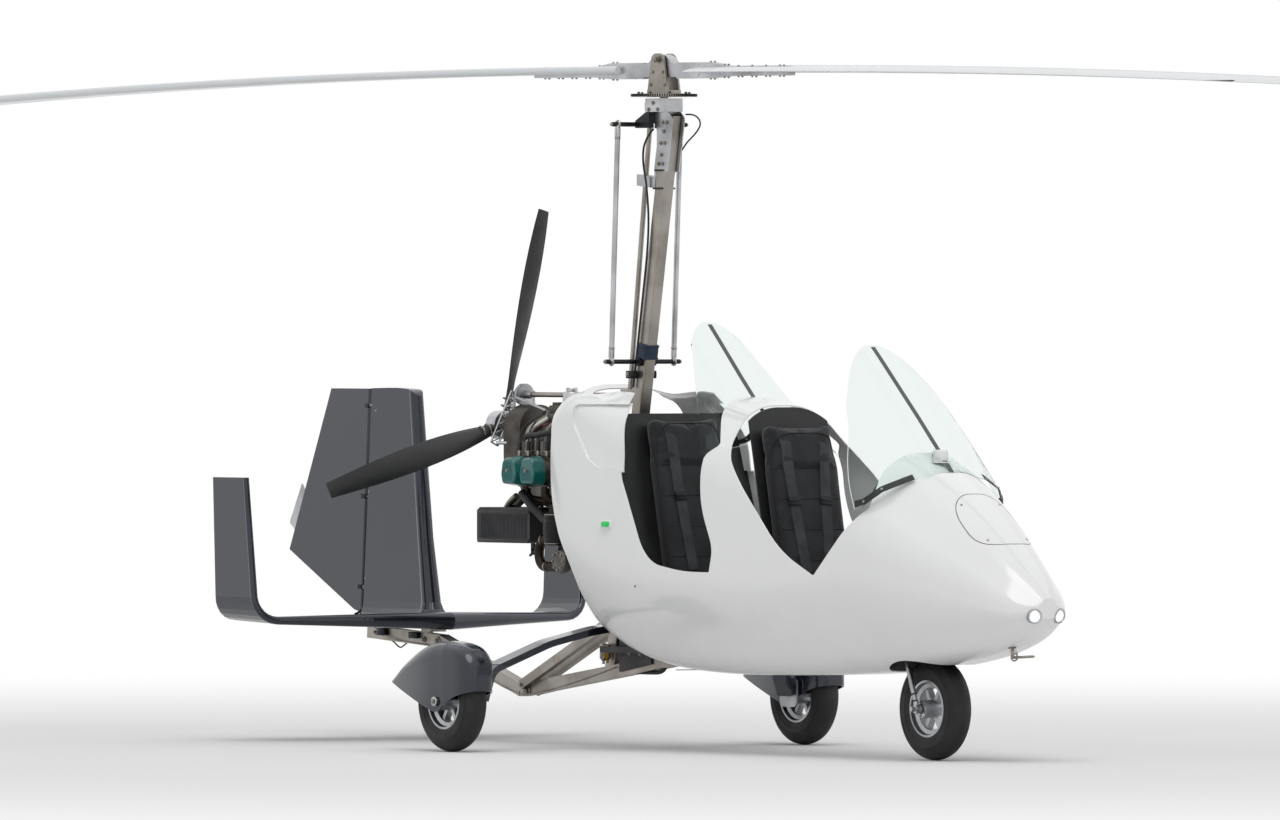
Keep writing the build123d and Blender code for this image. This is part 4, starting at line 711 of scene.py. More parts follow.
def harness(name, pads, shoulder, hip, lap_x, facing):
    """Shoulder and lap belts with buckles and adjusters, lying on a seat's two pads.

    The shoulder and hip are (x, z) places ahead of the back, and lap_x is the lap belt's place.
    """
    back_tree, base_tree = (tree_of(bpy.data.objects[pad].data) for pad in pads)
    belts, metal = bmesh.new(), bmesh.new()
    for side in (-1, 1):
        high = Vector((shoulder[0], side * 0.095, shoulder[1]))
        low = Vector((hip[0], side * 0.05, hip[1]))
        places = belt_route(back_tree, high, low, facing)
        if len(places) > 3:
            add_strip(belts, places, BELT_WIDTH, BELT_THICKNESS)
            at, normal = places[len(places) // 2]
            way = (places[-1][0] - places[0][0]).normalized()
            turn = rotation_to(way.cross(normal), way, normal)
            add_block(metal, at + normal * 0.004, (0.056, 0.034, 0.006), turn)
            add_block(metal, at + normal * 0.008, (0.05, 0.008, 0.006), turn)
        across = [side * (0.19 - 0.165 * step / 8) for step in range(9)]
        lap = lifted(cast_row(base_tree, [(Vector((lap_x, y, 2.0)), -Z_WAY) for y in across]), BELT_LIFT)
        if len(lap) > 3:
            add_strip(belts, lap, BELT_WIDTH, BELT_THICKNESS)
    centre = cast(base_tree, Vector((lap_x, 0, 2.0)), -Z_WAY)
    if centre:
        at = centre[0] + Vector((0, 0, 0.012))
        add_block(metal, at, (0.05, 0.07, 0.018), chamfer=0.005, steps=3)
        add_block(metal, at + Vector((0, 0.04, 0)), (0.036, 0.03, 0.006))
        add_block(metal, at + Vector((0, -0.012, 0.01)), (0.03, 0.02, 0.006))
    finish_piece(name + "_belts", belts, WEBBING, "seat_fabric")
    finish_piece(name + "_buckles", metal, FINISH["steel_dark"], "steel_dark")


seats()
front_pads, rear_pads = ("front_back_pad", "front_seat_pad"), ("rear_back_pad", "rear_seat_pad")
harness("front_harness", front_pads, (0.905, 1.25), (1.02, 0.62), 1.2, (1, 0, 0.2))
harness("rear_harness", rear_pads, (0.2, 1.27), (0.37, 0.64), 0.5, (1, 0, 0.1))

# Instruments

SCREEN = moulded("dark screen glass", "#0b0d10", "#181b20", 0.12, 50.0, 0.01, 0.0)
# The dials' ticks and hands glow white though they are no lamp: painted glow
DIAL_MARK_PAINTED_GLOW = lit_lens_and_painted_glow("dial ticks with painted glow", "#e6e8ea", "#ffffff", 0.15)

PANEL_FOOT = Vector((1.712, 0.0, 0.7))
PANEL_HEAD = Vector((1.672, 0.0, 1.01))


def panel_frame(side, share):
    """A place on the panel's face, its ways up and out, and the turn that lies flat on it.

    The place is given by its side distance and its share of the panel's height.
    """
    up = (PANEL_HEAD - PANEL_FOOT).normalized()
    out = Y_WAY.cross(up).normalized()
    if out.x > 0:
        out = -out
    at = PANEL_FOOT.lerp(PANEL_HEAD, share) + Vector((0, side, 0))
    return at, up, out, rotation_to(up.cross(out), up, out)


# A dial's section from its sunk inner wall over the rim to its outer wall: share of its radius, height
DIAL_SECTION = ((0.86, -0.002), (0.86, 0.004), (0.92, 0.007), (1.0, 0.007), (1.06, 0.004), (1.08, -0.002))
# Where the hand points, and the sweep of the ticks from the first one
HAND_TURN = 0.9
FIRST_TICK, TICK_SWEEP = 225, 270


def dial(bezel, marks, side, share, radius, ticks):
    """A round dial: bezel with four screws, ticks and a hand with its hub."""
    at, _, out, turn = panel_frame(side, share)
    add_lathe(bezel, [(radius * reach, height) for reach, height in DIAL_SECTION], at, out)
    for x, y in ((1, 1), (1, -1), (-1, 1), (-1, -1)):
        spot = at + turn.to_3x3() @ Vector((x * radius * 0.84, y * radius * 0.84, 0.001))
        add_screw(bezel, spot, out, 0.0035)
    # The ticks and the hand go into the mesh that carries the painted glow
    for tick in range(ticks):
        angle = math.radians(FIRST_TICK - TICK_SWEEP * tick / (ticks - 1))
        ray = turn.to_3x3() @ Vector((math.cos(angle), math.sin(angle), 0))
        size = (radius * (0.12 if tick % 5 == 0 else 0.07), radius * 0.03, 0.0006)
        place = at + ray * radius * 0.7 + out * 0.0022
        add_block(marks, place, size, rotation_to(ray, out.cross(ray), out), 0.0001, 1)
    hand = turn.to_3x3() @ Vector((math.cos(HAND_TURN), math.sin(HAND_TURN), 0))
    size = (radius * 0.62, radius * 0.05, 0.0008)
    place = at + hand * radius * 0.25 + out * 0.003
    add_block(marks, place, size, rotation_to(hand, out.cross(hand), out), 0.0002, 1)
    add_disc(bezel, at + out * 0.0034, out, radius * 0.1, 0.002, 12, 0.0004)


def instruments():
    """Dials, screen, switches and the compass."""
    bezel, marks, glass = bmesh.new(), bmesh.new(), bmesh.new()
    # Columns: side distance, share of the panel's height, radius, number of ticks
    for side, share, radius, ticks in (
        (-0.155, 0.82, 0.041, 21),
        (-0.155, 0.50, 0.041, 26),
        (0.155, 0.82, 0.041, 21),
        (0.155, 0.50, 0.041, 26),
        (-0.06, 0.28, 0.028, 16),
        (0.01, 0.28, 0.028, 16),
        (0.08, 0.28, 0.028, 16),
    ):
        dial(bezel, marks, side, share, radius, ticks)
        at, _, out, _ = panel_frame(side, share)
        add_disc(glass, at + out * 0.001, out, radius * 0.88, 0.002, 28)
    at, _, out, turn = panel_frame(0.0, 0.68)
    add_block(bezel, at + out * 0.006, (0.17, 0.118, 0.018), turn, 0.005, 3)
    add_block(glass, at + out * 0.0155, (0.146, 0.094, 0.0016), turn, 0.0006)
    for number in range(9):
        at, up, out, turn = panel_frame(-0.16 + number * 0.04, 0.1)
        add_block(bezel, at + out * 0.002, (0.018, 0.026, 0.005), turn, 0.0015)
        lean = up * (0.006 if number % 3 else -0.006)
        add_bar(bezel, at + out * 0.003, at + out * 0.016 + lean, 0.0026, 10, 0.0008)
    finish_piece("panel_bezels", bezel, FINISH["black_composite"], "black_composite")
    # The ticks and hands, with their painted glow
    finish_piece("panel_marks", marks, DIAL_MARK_PAINTED_GLOW, "lamp_glass")
    finish_piece("panel_screens", glass, SCREEN, "black_composite")
    case, card = bmesh.new(), bmesh.new()
    cowl = node_tree("panel_cowl")
    seat = cast(cowl, Vector((1.80, 0.0, 2.0)), -Z_WAY)
    if seat:
        at = seat[0] + Vector((0, 0, 0.026))
        add_disc(case, at, Z_WAY, 0.03, 0.048, 24, 0.008)
        add_disc(case, seat[0] + Vector((0, 0, 0.002)), Z_WAY, 0.04, 0.005, 24, 0.001)
        add_disc(card, at + Vector((-0.014, 0, 0)), -X_WAY, 0.02, 0.034, 24, 0.004)
        finish_piece("compass_case", case, FINISH["white_gloss"], "white_gloss")
        finish_piece("compass_card", card, SCREEN, "black_composite")


instruments()


# The front and rear stick and throttle lever, as places along X
STICK_PLACES = (1.432, 0.69)
THROTTLE_PLACES = (1.43, 0.68)
# A stick boot's folds from the floor up: radius and height
BOOT_FOLDS = (
    *((0.062, 0.411), (0.062, 0.416), (0.05, 0.424), (0.054, 0.431), (0.04, 0.44), (0.044, 0.447)),
    *((0.03, 0.458), (0.033, 0.464), (0.02, 0.478), (0.0105, 0.484)),
)


def cockpit_fittings():
    """Boots, grips and stick buttons, and throttle knobs."""
    rubber, knobs = bmesh.new(), bmesh.new()
    for x in STICK_PLACES:
        add_lathe(rubber, BOOT_FOLDS, (x, 0, 0), Z_WAY)
        for step in range(5):
            z = 0.66 + step * 0.014
            add_ring(rubber, (x - 0.0275 - step * 0.0013, 0, z), (-0.09, 0, 1), 0.0172, 0.0018, 20, 6)
        add_disc(knobs, (x - 0.036, 0.0, 0.746), (-0.2, 0, 1), 0.012, 0.012, 16, 0.003)
        add_disc(knobs, (x - 0.052, 0.004, 0.728), (-1, 0, 0.1), 0.006, 0.008, 12, 0.002)
        add_disc(knobs, (x - 0.052, -0.004, 0.712), (-1, 0, 0.1), 0.006, 0.008, 12, 0.002)
    for x in THROTTLE_PLACES:
        add_block(knobs, (x - 0.025, 0.25, 0.5), (0.07, 0.006, 0.012))
        add_disc(knobs, (x + 0.01, 0.236, 0.47), -Y_WAY, 0.01, 0.01, 14, 0.002)
    finish_piece("stick_boots", rubber, *HOSE, sharp=60)
    finish_piece("cockpit_knobs", knobs, FINISH["black_composite"], "black_composite")


cockpit_fittings()

# Windshield trims

SHIELD_STRIP = moulded("smoked strip", "#3d4741", "#4a524b", 0.35, 300.0, 0.03, 0.1)

# The (x, z) places of the foot strips along each side of a windshield
GLASS_FOOTS = {
    "front_windshield": (
        *((1.712, 0.955), (1.752, 0.965), (1.80, 1.012)),
        *((1.85, 1.058), (1.90, 1.084), (1.94, 1.104)),
    ),
    "rear_windshield": (
        *((0.716, 1.146), (0.74, 1.166), (0.762, 1.19)),
        *((0.74, 1.22), (0.70, 1.262), (0.66, 1.305)),
    ),
}
# The top edge of each sheet: height of its crown, and its half width one metre further down
GLASS_CROWNS = {"front_windshield": (1.5675, 0.48), "rear_windshield": (1.655, 0.42)}


def rounded_glass(node_name, half_width=0.2, steps=32):
    """A windshield's sheet, its top edge cut to a round crown by planes that touch the crown's curve."""
    crown, spread = GLASS_CROWNS[node_name]
    bm = skin_copy(node_name)
    for step in range(steps + 1):
        y = half_width * (2 * step / steps - 1)
        cut = bmesh.ops.bisect_plane(
            bm,
            geom=bm.verts[:] + bm.edges[:] + bm.faces[:],
            plane_co=(0, y, crown - (y / spread) ** 2),
            plane_no=Vector((0, 2 * y / spread**2, 1)).normalized(),
            clear_outer=True,
        )
        rim = [item for item in cut["geom_cut"] if isinstance(item, bmesh.types.BMEdge)]
        bmesh.ops.holes_fill(bm, edges=rim, sides=0)
    piece = finish_piece(node_name + "_sheet", bm, FINISH["clear_acrylic"], "clear_acrylic")
    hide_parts(node_name)
    return piece


def windshield_trims(steps=26):
    """Smoked strips up the middle, and dark foot strips with their screws."""
    strips, foots, screws = bmesh.new(), bmesh.new(), bmesh.new()
    for node_name, foot in GLASS_FOOTS.items():
        tree = tree_of(rounded_glass(node_name).data)
        low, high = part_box(node_name)
        low_z, high_z = low[2] + 0.05, high[2] - 0.012
        heights = [low_z + (high_z - low_z) * step / steps for step in range(steps + 1)]
        row = cast_row(tree, [(Vector((3.0, 0.0, z)), -X_WAY) for z in heights])
        row = [hit for hit in row if hit[1].x > 0.2]
        add_strip(strips, lifted(row, 0.0006), 0.02, 0.0008)
        for side in (-1, 1):
            hits = cast_row(tree, [(Vector((x, side, z + 0.014)), (0, -side, 0)) for x, z in foot])
            if len(hits) > 2:
                add_strip(foots, lifted(hits, 0.0008), 0.026, 0.0016)
                for hit in lifted(hits[1:-1], 0.0024):
                    add_screw(screws, hit[0], hit[1], 0.005)
    finish_piece("windshield_strips", strips, SHIELD_STRIP, "black_composite")
    finish_piece("windshield_foots", foots, FINISH["black_composite"], "black_composite")
    finish_piece("windshield_screws", screws, *STEEL)


windshield_trims()

# Pod skin fittings

GROOVE = moulded("panel groove", "#3b3d40", "#55565a", 0.6, 400.0, 0.02, 0.1)
pod_tree = node_tree("fuselage_shell")

# The nose hatch: its middle along X, its half length and half width, and the points of its outline
HATCH_X, HATCH_HALF_LENGTH, HATCH_HALF_WIDTH = 2.13, 0.17, 0.13
HATCH_STEPS = 56
HATCH_CORNERS = (7, 21, 35, 49)
# How far inside the outline the hatch's screws stand
SCREW_INSET = 0.022


def pod_lines():
    """The nose hatch's joint line with its four screws, and the screw on each flank."""
    lines, screws = bmesh.new(), bmesh.new()
    rays = []
    for turn, _ in circle_ways(HATCH_STEPS, X_WAY, Y_WAY):
        x = HATCH_X + squared(math.cos(turn), 0.75) * HATCH_HALF_LENGTH
        y = squared(math.sin(turn), 0.75) * HATCH_HALF_WIDTH
        rays.append((Vector((x + 0.5, y, 2.0)), (-0.45, 0, -1)))
    outline = cast_row(pod_tree, rays)
    add_strip(lines, lifted(outline, 0.0004), 0.003, 0.0006, closed=True)
    middle = sum((hit[0] for hit in outline), Vector()) / len(outline)
    for corner in HATCH_CORNERS:
        point, normal = outline[corner]
        inward = (middle - point).normalized() * SCREW_INSET
        hit = cast(pod_tree, point + inward + normal * 0.1, -normal)
        if hit:
            add_screw(screws, hit[0], hit[1], 0.006)
    for side in (-1, 1):
        hit = cast(pod_tree, Vector((0.3, side, 0.64)), (0, -side, 0))
        if hit:
            add_screw(screws, hit[0], hit[1], 0.006)
    finish_piece("pod_lines", lines, GROOVE, "white_gloss", sharp=60)
    finish_piece("pod_screws", screws, *STEEL)


pod_lines()


# Sections of a landing lamp's turned parts: radius, height above the pod's skin
LAMP_BEZEL = ((0.0225, -0.012), (0.0225, 0.003), (0.0245, 0.006), (0.0285, 0.005), (0.03, -0.012))
LAMP_BOWL = ((0.004, -0.009), (0.012, -0.008), (0.019, -0.003), (0.022, 0.002))
LAMP_LENS = ((0.0001, 0.006), (0.009, 0.0056), (0.017, 0.0042), (0.022, 0.002))


def landing_lights():
    """Two round lamps in the nose: bezel, reflector bowl and ribbed lens."""
    bezels, bowls, lenses = bmesh.new(), bmesh.new(), bmesh.new()
    for side in (-1, 1):
        hit = cast(pod_tree, Vector((3.0, side * 0.057, 0.556)), -X_WAY)
        if not hit:
            continue
        point, normal = hit
        way = (normal + Vector((1.2, 0, 0))).normalized()
        for bm, section in ((bezels, LAMP_BEZEL), (bowls, LAMP_BOWL), (lenses, LAMP_LENS)):
            add_lathe(bm, section, point, way)
        for radius in (0.006, 0.011, 0.016):
            add_ring(lenses, point + way * 0.0052, way, radius, 0.0006, 28, 5)
    finish_piece("landing_light_bezels", bezels, FINISH["alloy"], "alloy")
    finish_piece("landing_light_bowls", bowls, *STEEL)
    finish_piece("landing_light_lenses", lenses, FINISH["lamp_glass"], "lamp_glass")


landing_lights()


def side_lights():
    """The lamps on the pod's flanks: green on the right, red on the left, each on a white base."""
    for side, slot, name in ((-1, "nav_green", "right_side_lamp"), (1, "nav_red", "left_side_lamp")):
        hit = cast(pod_tree, Vector((0.085, side, 0.875)), (0, -side, 0))
        if not hit:
            continue
        point, normal = hit
        lens, base = bmesh.new(), bmesh.new()
        ahead = (X_WAY - normal * normal.x).normalized()
        turn = rotation_to(ahead, normal.cross(ahead), normal)
        add_block(base, point + normal * 0.003, (0.07, 0.03, 0.01), turn, 0.0048, 4)
        add_block(lens, point + normal * 0.011 + ahead * 0.006, (0.044, 0.022, 0.018), turn, 0.0088, 5)
        finish_piece(name + "_base", base, FINISH["white_gloss"], "white_gloss")
        finish_piece(name, lens, FINISH[slot], slot)


side_lights()


def nose_fittings():
    """The air speed tube under the nose and the tie-down eye behind it."""
    bm = bmesh.new()
    under = cast(pod_tree, Vector((2.30, -0.035, 0.0)), Z_WAY)
    if under:
        foot = under[0]
        add_bar(bm, foot + Vector((0, 0, 0.004)), foot + Vector((0.01, 0, -0.04)), 0.006, 12, 0.001)
        add_bar(bm, foot + Vector((0.008, 0, -0.036)), foot + Vector((0.13, 0, -0.03)), 0.005, 12, 0.001)
        add_disc(bm, foot + Vector((0, 0, -0.001)), (0, 0, 1), 0.016, 0.004, 18, 0.001)
        add_disc(bm, foot + Vector((0.134, 0, -0.03)), (1, 0, 0.05), 0.0052, 0.01, 12, 0.0, 0.003)
    under = cast(pod_tree, Vector((2.2, 0.05, 0.0)), Z_WAY)
    if under:
        add_ring(bm, under[0] + Vector((0, 0, -0.012)), (1, 0, 0), 0.014, 0.0035, 20, 8)
        add_disc(bm, under[0], (0, 0, 1), 0.014, 0.004, 18, 0.001)
    finish_piece("nose_fittings", bm, *STEEL)


nose_fittings()


# Section of the filler cap from its middle to its foot: radius, height
CAP_SECTION = (
    *((0.0001, 0.012), (0.024, 0.012), (0.028, 0.009)),
    *((0.03, 0.002), (0.036, 0.001), (0.037, -0.002)),
)


def fuel_filler():
    """The fuel filler's cap on the rear fairing's left shoulder, with finger ribs."""
    bm = bmesh.new()
    hit = cast(pod_tree, Vector((-0.1, 1.0, 1.16)), -Y_WAY)
    if hit:
        point, normal = hit
        add_lathe(bm, CAP_SECTION, point, normal)
        cap_turn = frame_along(normal, (0, 0, 0)).to_3x3()
        for _, way in circle_ways(12, X_WAY, Y_WAY):
            side = cap_turn @ way
            foot = point + side * 0.0295 + normal * 0.003
            add_bar(bm, foot, point + side * 0.0285 + normal * 0.0095, 0.0022, 6)
    finish_piece("fuel_filler", bm, FINISH["alloy"], "alloy")


fuel_filler()

# Rotor head

BLADE_TURN = math.radians(18)
BLADE_WAY = Vector((math.cos(BLADE_TURN), math.sin(BLADE_TURN), 0.0))
CHORD_WAY = Vector((-math.sin(BLADE_TURN), math.cos(BLADE_TURN), 0.0))
RING_GEAR_Z = 2.53
RING_GEAR_RADIUS = 0.125
RING_GEAR_TEETH = 84
BLADE_Z = 2.66
# The mast moves ahead by this share of its height, from its foot's place and height
MAST_LEAN = 0.18 / 0.994
MAST_FOOT_X, MAST_FOOT_Z = -0.127, 1.46
# The push rods beside the mast: heights of their ends, side distance, and distances behind the mast
ROD_TOP_Z, ROD_FOOT_Z = 2.418, 1.5
ROD_SIDE = 0.148
ROD_TOP_BACK, ROD_FOOT_BACK = 0.146, 0.024
MAST_WRAP = woven("dark blue wrap", "#1c2a3c", "#27384e", 1100.0)


def mast_x(z):
    """The middle of the mast at a height."""
    return MAST_FOOT_X + (z - MAST_FOOT_Z) * MAST_LEAN


def ring_gear_teeth():
    """Teeth round the rim of the rotor's ring gear, and the bolts in its face."""
    bm = bmesh.new()
    for turn, way in circle_ways(RING_GEAR_TEETH, X_WAY, Y_WAY):
        at = way * (RING_GEAR_RADIUS + 0.0012) + Vector((0, 0, RING_GEAR_Z))
        add_block(bm, at, (0.006, 0.0046, 0.010), Matrix.Rotation(turn, 4, "Z"), 0.0008, 1)
    tower = node_tree("rotor_tower")
    for _, way in circle_ways(8, X_WAY, Y_WAY, 0.5):
        hit = cast(tower, way * 0.1 + Vector((0, 0, 2.6)), -Z_WAY)
        if hit and hit[0].z > RING_GEAR_Z - 0.02:
            add_bolt(bm, hit[0], Z_WAY, 0.007)
    finish_piece("ring_gear_teeth", bm, FINISH["steel_dark"], "steel_dark", "rotor_shaft")


def tower_bolts():
    """Bolts through the tower plates, and the teeter bolt's heads with their split pins."""
    bm = bmesh.new()
    tree = node_tree("rotor_tower")
    for side in (-1, 1):
        out = CHORD_WAY * side
        for along, z in ((-0.034, 2.572), (0.034, 2.572), (-0.024, 2.62), (0.024, 2.62)):
            start = BLADE_WAY * along + out * 0.3 + Vector((0, 0, z))
            hit = cast(tree, start, -out)
            if hit and hit[0].dot(out) > 0.02:
                add_bolt(bm, hit[0], out, 0.0075)
        hit = cast(tree, out * 0.3 + Vector((0, 0, 2.668)), -out)
        if hit:
            add_bolt(bm, hit[0], out, 0.012)
            pin = hit[0] + out * 0.006
            add_bar(bm, pin + Vector((0, 0, -0.008)), pin + Vector((0, 0, 0.01)), 0.0012, 8)
    finish_piece("tower_bolts", bm, *STEEL, "rotor_shaft")


def blade_root_bolts():
    """Bolts through the straps and the hub bar, above and below."""
    bm = bmesh.new()
    straps, bar = node_tree("blade_straps"), node_tree("hub_bar")
    for side in (-1, 1):
        for level in (-1, 1):
            for step in range(6):
                for across in (-0.013, 0.013):
                    reach = side * (0.235 + step * 0.066)
                    start = BLADE_WAY * reach + CHORD_WAY * across + Z_WAY * (BLADE_Z + level * 0.3)
                    hit = cast(straps, start, (0, 0, -level))
                    if hit:
                        add_bolt(bm, hit[0], hit[1], 0.0055)
            for reach in (0.1, 0.135):
                start = BLADE_WAY * side * reach + Z_WAY * (BLADE_Z + level * 0.3)
                hit = cast(bar, start, (0, 0, -level)) or cast(straps, start, (0, 0, -level))
                if hit:
                    add_bolt(bm, hit[0], hit[1], 0.0065)
    finish_piece("blade_root_bolts", bm, *STEEL, "rotor")


def blade_ends():
    """The dark band and joint line at each blade's tip, and the blades' trim tabs."""
    caps, tabs = bmesh.new(), bmesh.new()
    tree = node_tree("rotor_blades")
    above = Vector((0, 0, 3.5))
    for side in (-1, 1):
        for reach, width in ((4.16, 0.018), (4.02, 0.004)):
            chord = [side * (0.056 - step * 0.0165) for step in range(12)]
            starts = [BLADE_WAY * side * reach + CHORD_WAY * share + above for share in chord]
            hits = cast_row(tree, [(start, -Z_WAY) for start in starts])
            if len(hits) > 4:
                add_strip(caps, lifted(hits, 0.0005), width, 0.0008)
        for reach in (2.7, 3.1):
            start = BLADE_WAY * side * reach - CHORD_WAY * side * 0.135 + above
            hit = cast(tree, start, -Z_WAY)
            if hit:
                turn = Matrix.Rotation(BLADE_TURN, 4, "Z")
                add_block(tabs, hit[0] + Vector((0, 0, 0.0012)), (0.12, 0.03, 0.0016), turn, 0.0006, 1)
    finish_piece("blade_tip_caps", caps, FINISH["dark_metallic"], "dark_metallic", "rotor")
    finish_piece("blade_tabs", tabs, FINISH["alloy"], "alloy", "rotor")


def head_fittings():
    """Bolts of the head's cheeks and block, the push rods' ends, the mast's ties and its side blocks."""
    bm, dark = bmesh.new(), bmesh.new()
    cheeks, block = node_tree("mast_cheeks"), node_tree("head_block")
    rod_run = mast_x(ROD_TOP_Z) - ROD_TOP_BACK - (mast_x(ROD_FOOT_Z) - ROD_FOOT_BACK)
    rod_way = Vector((rod_run, 0, ROD_TOP_Z - ROD_FOOT_Z)).normalized()
    for side in (-1, 1):
        for z in (2.265, 2.30, 2.345, 2.39, 2.425):
            for ahead in (-0.012, 0.014) if z in (2.265, 2.345, 2.425) else (0.0,):
                hit = cast(cheeks, Vector((mast_x(z) + ahead, side * 0.4, z)), (0, -side, 0))
                if hit and abs(hit[0].y) > 0.02:
                    add_bolt(bm, hit[0], (0, side, 0), 0.0075)
        for x, z in ((-0.03, 2.475), (0.03, 2.475), (0.0, 2.5)):
            hit = cast(block, Vector((x, side * 0.4, z)), (0, -side, 0))
            if hit:
                add_bolt(bm, hit[0], (0, side, 0), 0.0075)
        for z, back, inward in ((ROD_TOP_Z, ROD_TOP_BACK, -1), (ROD_FOOT_Z, ROD_FOOT_BACK, 1)):
            eye = Vector((mast_x(z) - back, side * ROD_SIDE, z))
            add_ring(bm, eye, Y_WAY, 0.0125, 0.005, 24, 8)
            add_bolt(bm, eye + Vector((0, side * 0.028, 0)), (0, side, 0), 0.008)
            foot = eye + rod_way * (inward * 0.03)
            add_disc(bm, foot, rod_way, 0.0115, 0.03, 6, 0.002)
            add_disc(bm, foot + rod_way * (inward * 0.022), rod_way, 0.0118, 0.012, 16, 0.002)
    for z in (2.24, 2.17):
        # Columns: place ahead of the mast's middle, place beside it, length and width of one side of a tie
        for ahead, beside, length, width in (
            (0.027, 0, 0.0014, 0.062),
            (-0.0335, 0, 0.0014, 0.062),
            (0, 0.0315, 0.058, 0.0014),
            (0, -0.0315, 0.058, 0.0014),
        ):
            add_block(dark, (mast_x(z) + ahead, beside, z), (length, width, 0.007), chamfer=0.0008, steps=1)
    block_x, block_z = mast_x(1.45) - 0.024, 1.45
    for side in (-1, 1):
        add_block(dark, (block_x, side * 0.046, block_z), (0.034, 0.034, 0.03), chamfer=0.004, steps=3)
        add_bolt(bm, (block_x, side * 0.063, block_z), (0, side, 0), 0.0085)
    finish_piece("head_bolts", bm, *STEEL)
    finish_piece("rod_ends", dark, FINISH["steel_dark"], "steel_dark")


def mast_lines():
    """Cables on the mast, the loop at its head, the rotor brake's hose and the soft wrap."""
    down = (2.40, 2.24, 2.1, 1.95, 1.8, 1.65, 1.5, 1.36)
    loop = [(0.098, 0.034, 2.455), (0.15, 0.036, 2.458), (0.2, 0.036, 2.425), (0.17, 0.036, 2.385)]
    onto_mast = ((2.3, 0.02, 0.034), (2.24, 0.012, 0.034), (2.17, 0.0, 0.033))
    routes = [
        [(mast_x(z) - 0.0285, 0.016, z) for z in down],
        [(mast_x(z) - 0.0290, 0.008, z) for z in down],
        [(mast_x(z) - 0.0285, 0.024, z) for z in down],
        loop + [(0.11, 0.034, 2.35)],
        [(0.11, 0.034, 2.35)] + [(mast_x(z) + ahead, y, z) for z, ahead, y in onto_mast],
        [(mast_x(z), 0.033, z) for z in (2.17, 2.0, 1.8, 1.6, 1.4)],
    ]
    lines_piece("mast_cables", routes, 0.0032, *HOSE)
    brake = [(-0.02, -0.036, 2.40), (-0.06, -0.05, 2.36), (-0.08, -0.046, 2.28), (-0.066, -0.034, 2.18)]
    brake += [(mast_x(z) - 0.02, -0.034, z) for z in (2.0, 1.7, 1.4)]
    lines_piece("brake_hose", [brake], 0.0042, *HOSE)
    pad = bmesh.new()
    turn = Matrix.Rotation(math.atan(MAST_LEAN), 4, "Y")
    add_block(pad, (mast_x(1.54) + 0.004, 0, 1.54), (0.0565, 0.066, 0.062), turn, 0.007, 3)
    for z in (1.517, 1.563):
        add_block(pad, (mast_x(z) + 0.004, 0, z), (0.059, 0.0685, 0.007), turn, 0.003)
    finish_piece("mast_wrap", pad, MAST_WRAP, "seat_fabric")


ring_gear_teeth()
tower_bolts()
blade_root_bolts()
blade_ends()
head_fittings()
mast_lines()

# Engine

# The two cylinders of each side as places along X, and the height of the crankshaft
CYLINDERS = (-0.516, -0.642)
CRANK_Z = 1.075
# The two plugs of a cylinder, ahead of and behind its middle
PLUG_SPREAD = (-0.03, 0.03)
CARBURETTOR_X, CARBURETTOR_Z = -0.575, 1.288
TANK_X = -0.62
MUFFLER_X, MUFFLER_Y, MUFFLER_Z = -0.446, -0.2, 0.849
WRAP_TURNS, WRAP_PITCH = 15, 0.0075
TURBO = Vector((-0.4, -0.2, 0.724))
PROP_AXLE = Vector((-1.09, 0.0, 1.249))
RED_LEAD = moulded("red fuel line", "#7a1f1b", "#8e3a34", 0.4, 600.0, 0.05, 0.1)
HEAT_WRAP = woven("black heat wrap", "#141414", "#232323", 700.0)


def cover_trims():
    """The foot rim under each rounded valve cover and the bolt in its middle."""
    rims, bolts = bmesh.new(), bmesh.new()
    tree = node_tree("valve_covers")
    for side in (-1, 1):
        for x in CYLINDERS:
            add_disc(rims, (x, side * 0.234, CRANK_Z), (0, side, 0), 0.055, 0.006, 48, 0.0015)
            hit = cast(tree, Vector((x, side * 0.6, CRANK_Z)), (0, -side, 0))
            if hit:
                add_bolt(bolts, hit[0], (0, side, 0), 0.0075)
    finish_piece("cover_rims", rims, FINISH["engine_grey"], "engine_grey")
    finish_piece("cover_bolts", bolts, *STEEL)


def cylinder_heads():
    """Extra cooling fins, spark plugs and exhaust flanges on the cylinders."""
    fins, plugs, ends = bmesh.new(), bmesh.new(), bmesh.new()
    for side in (-1, 1):
        for x in CYLINDERS:
            for step in range(7):
                y = side * (0.116 + step * 0.013)
                add_block(fins, (x, y, CRANK_Z), (0.118, 0.0018, 0.126), chamfer=0.0007, steps=1)
            for dx in PLUG_SPREAD:
                foot = Vector((x + dx, side * 0.212, CRANK_Z + 0.056))
                add_bar(plugs, foot, foot + Vector((0, 0, 0.026)), 0.0075, 6, 0.001)
                add_bar(ends, foot + Vector((0, 0, 0.022)), foot + Vector((0, 0, 0.058)), 0.0085, 14, 0.002)
            port = Vector((x, side * 0.2, CRANK_Z - 0.058))
            add_block(fins, port, (0.064, 0.044, 0.008), chamfer=0.003)
            for dx in (-0.024, 0.024):
                add_bolt(plugs, port + Vector((dx, 0, -0.004)), -Z_WAY, 0.006)
    finish_piece("cylinder_fins", fins, FINISH["engine_grey"], "engine_grey")
    finish_piece("spark_plugs", plugs, *STEEL)
    finish_piece("plug_caps", ends, *HOSE)


def mirrored(route, sides=(-1, 1)):
    """A route that is written for the left, once for each side."""
    return [[(x, side * y, z) for x, y, z in route] for side in sides]


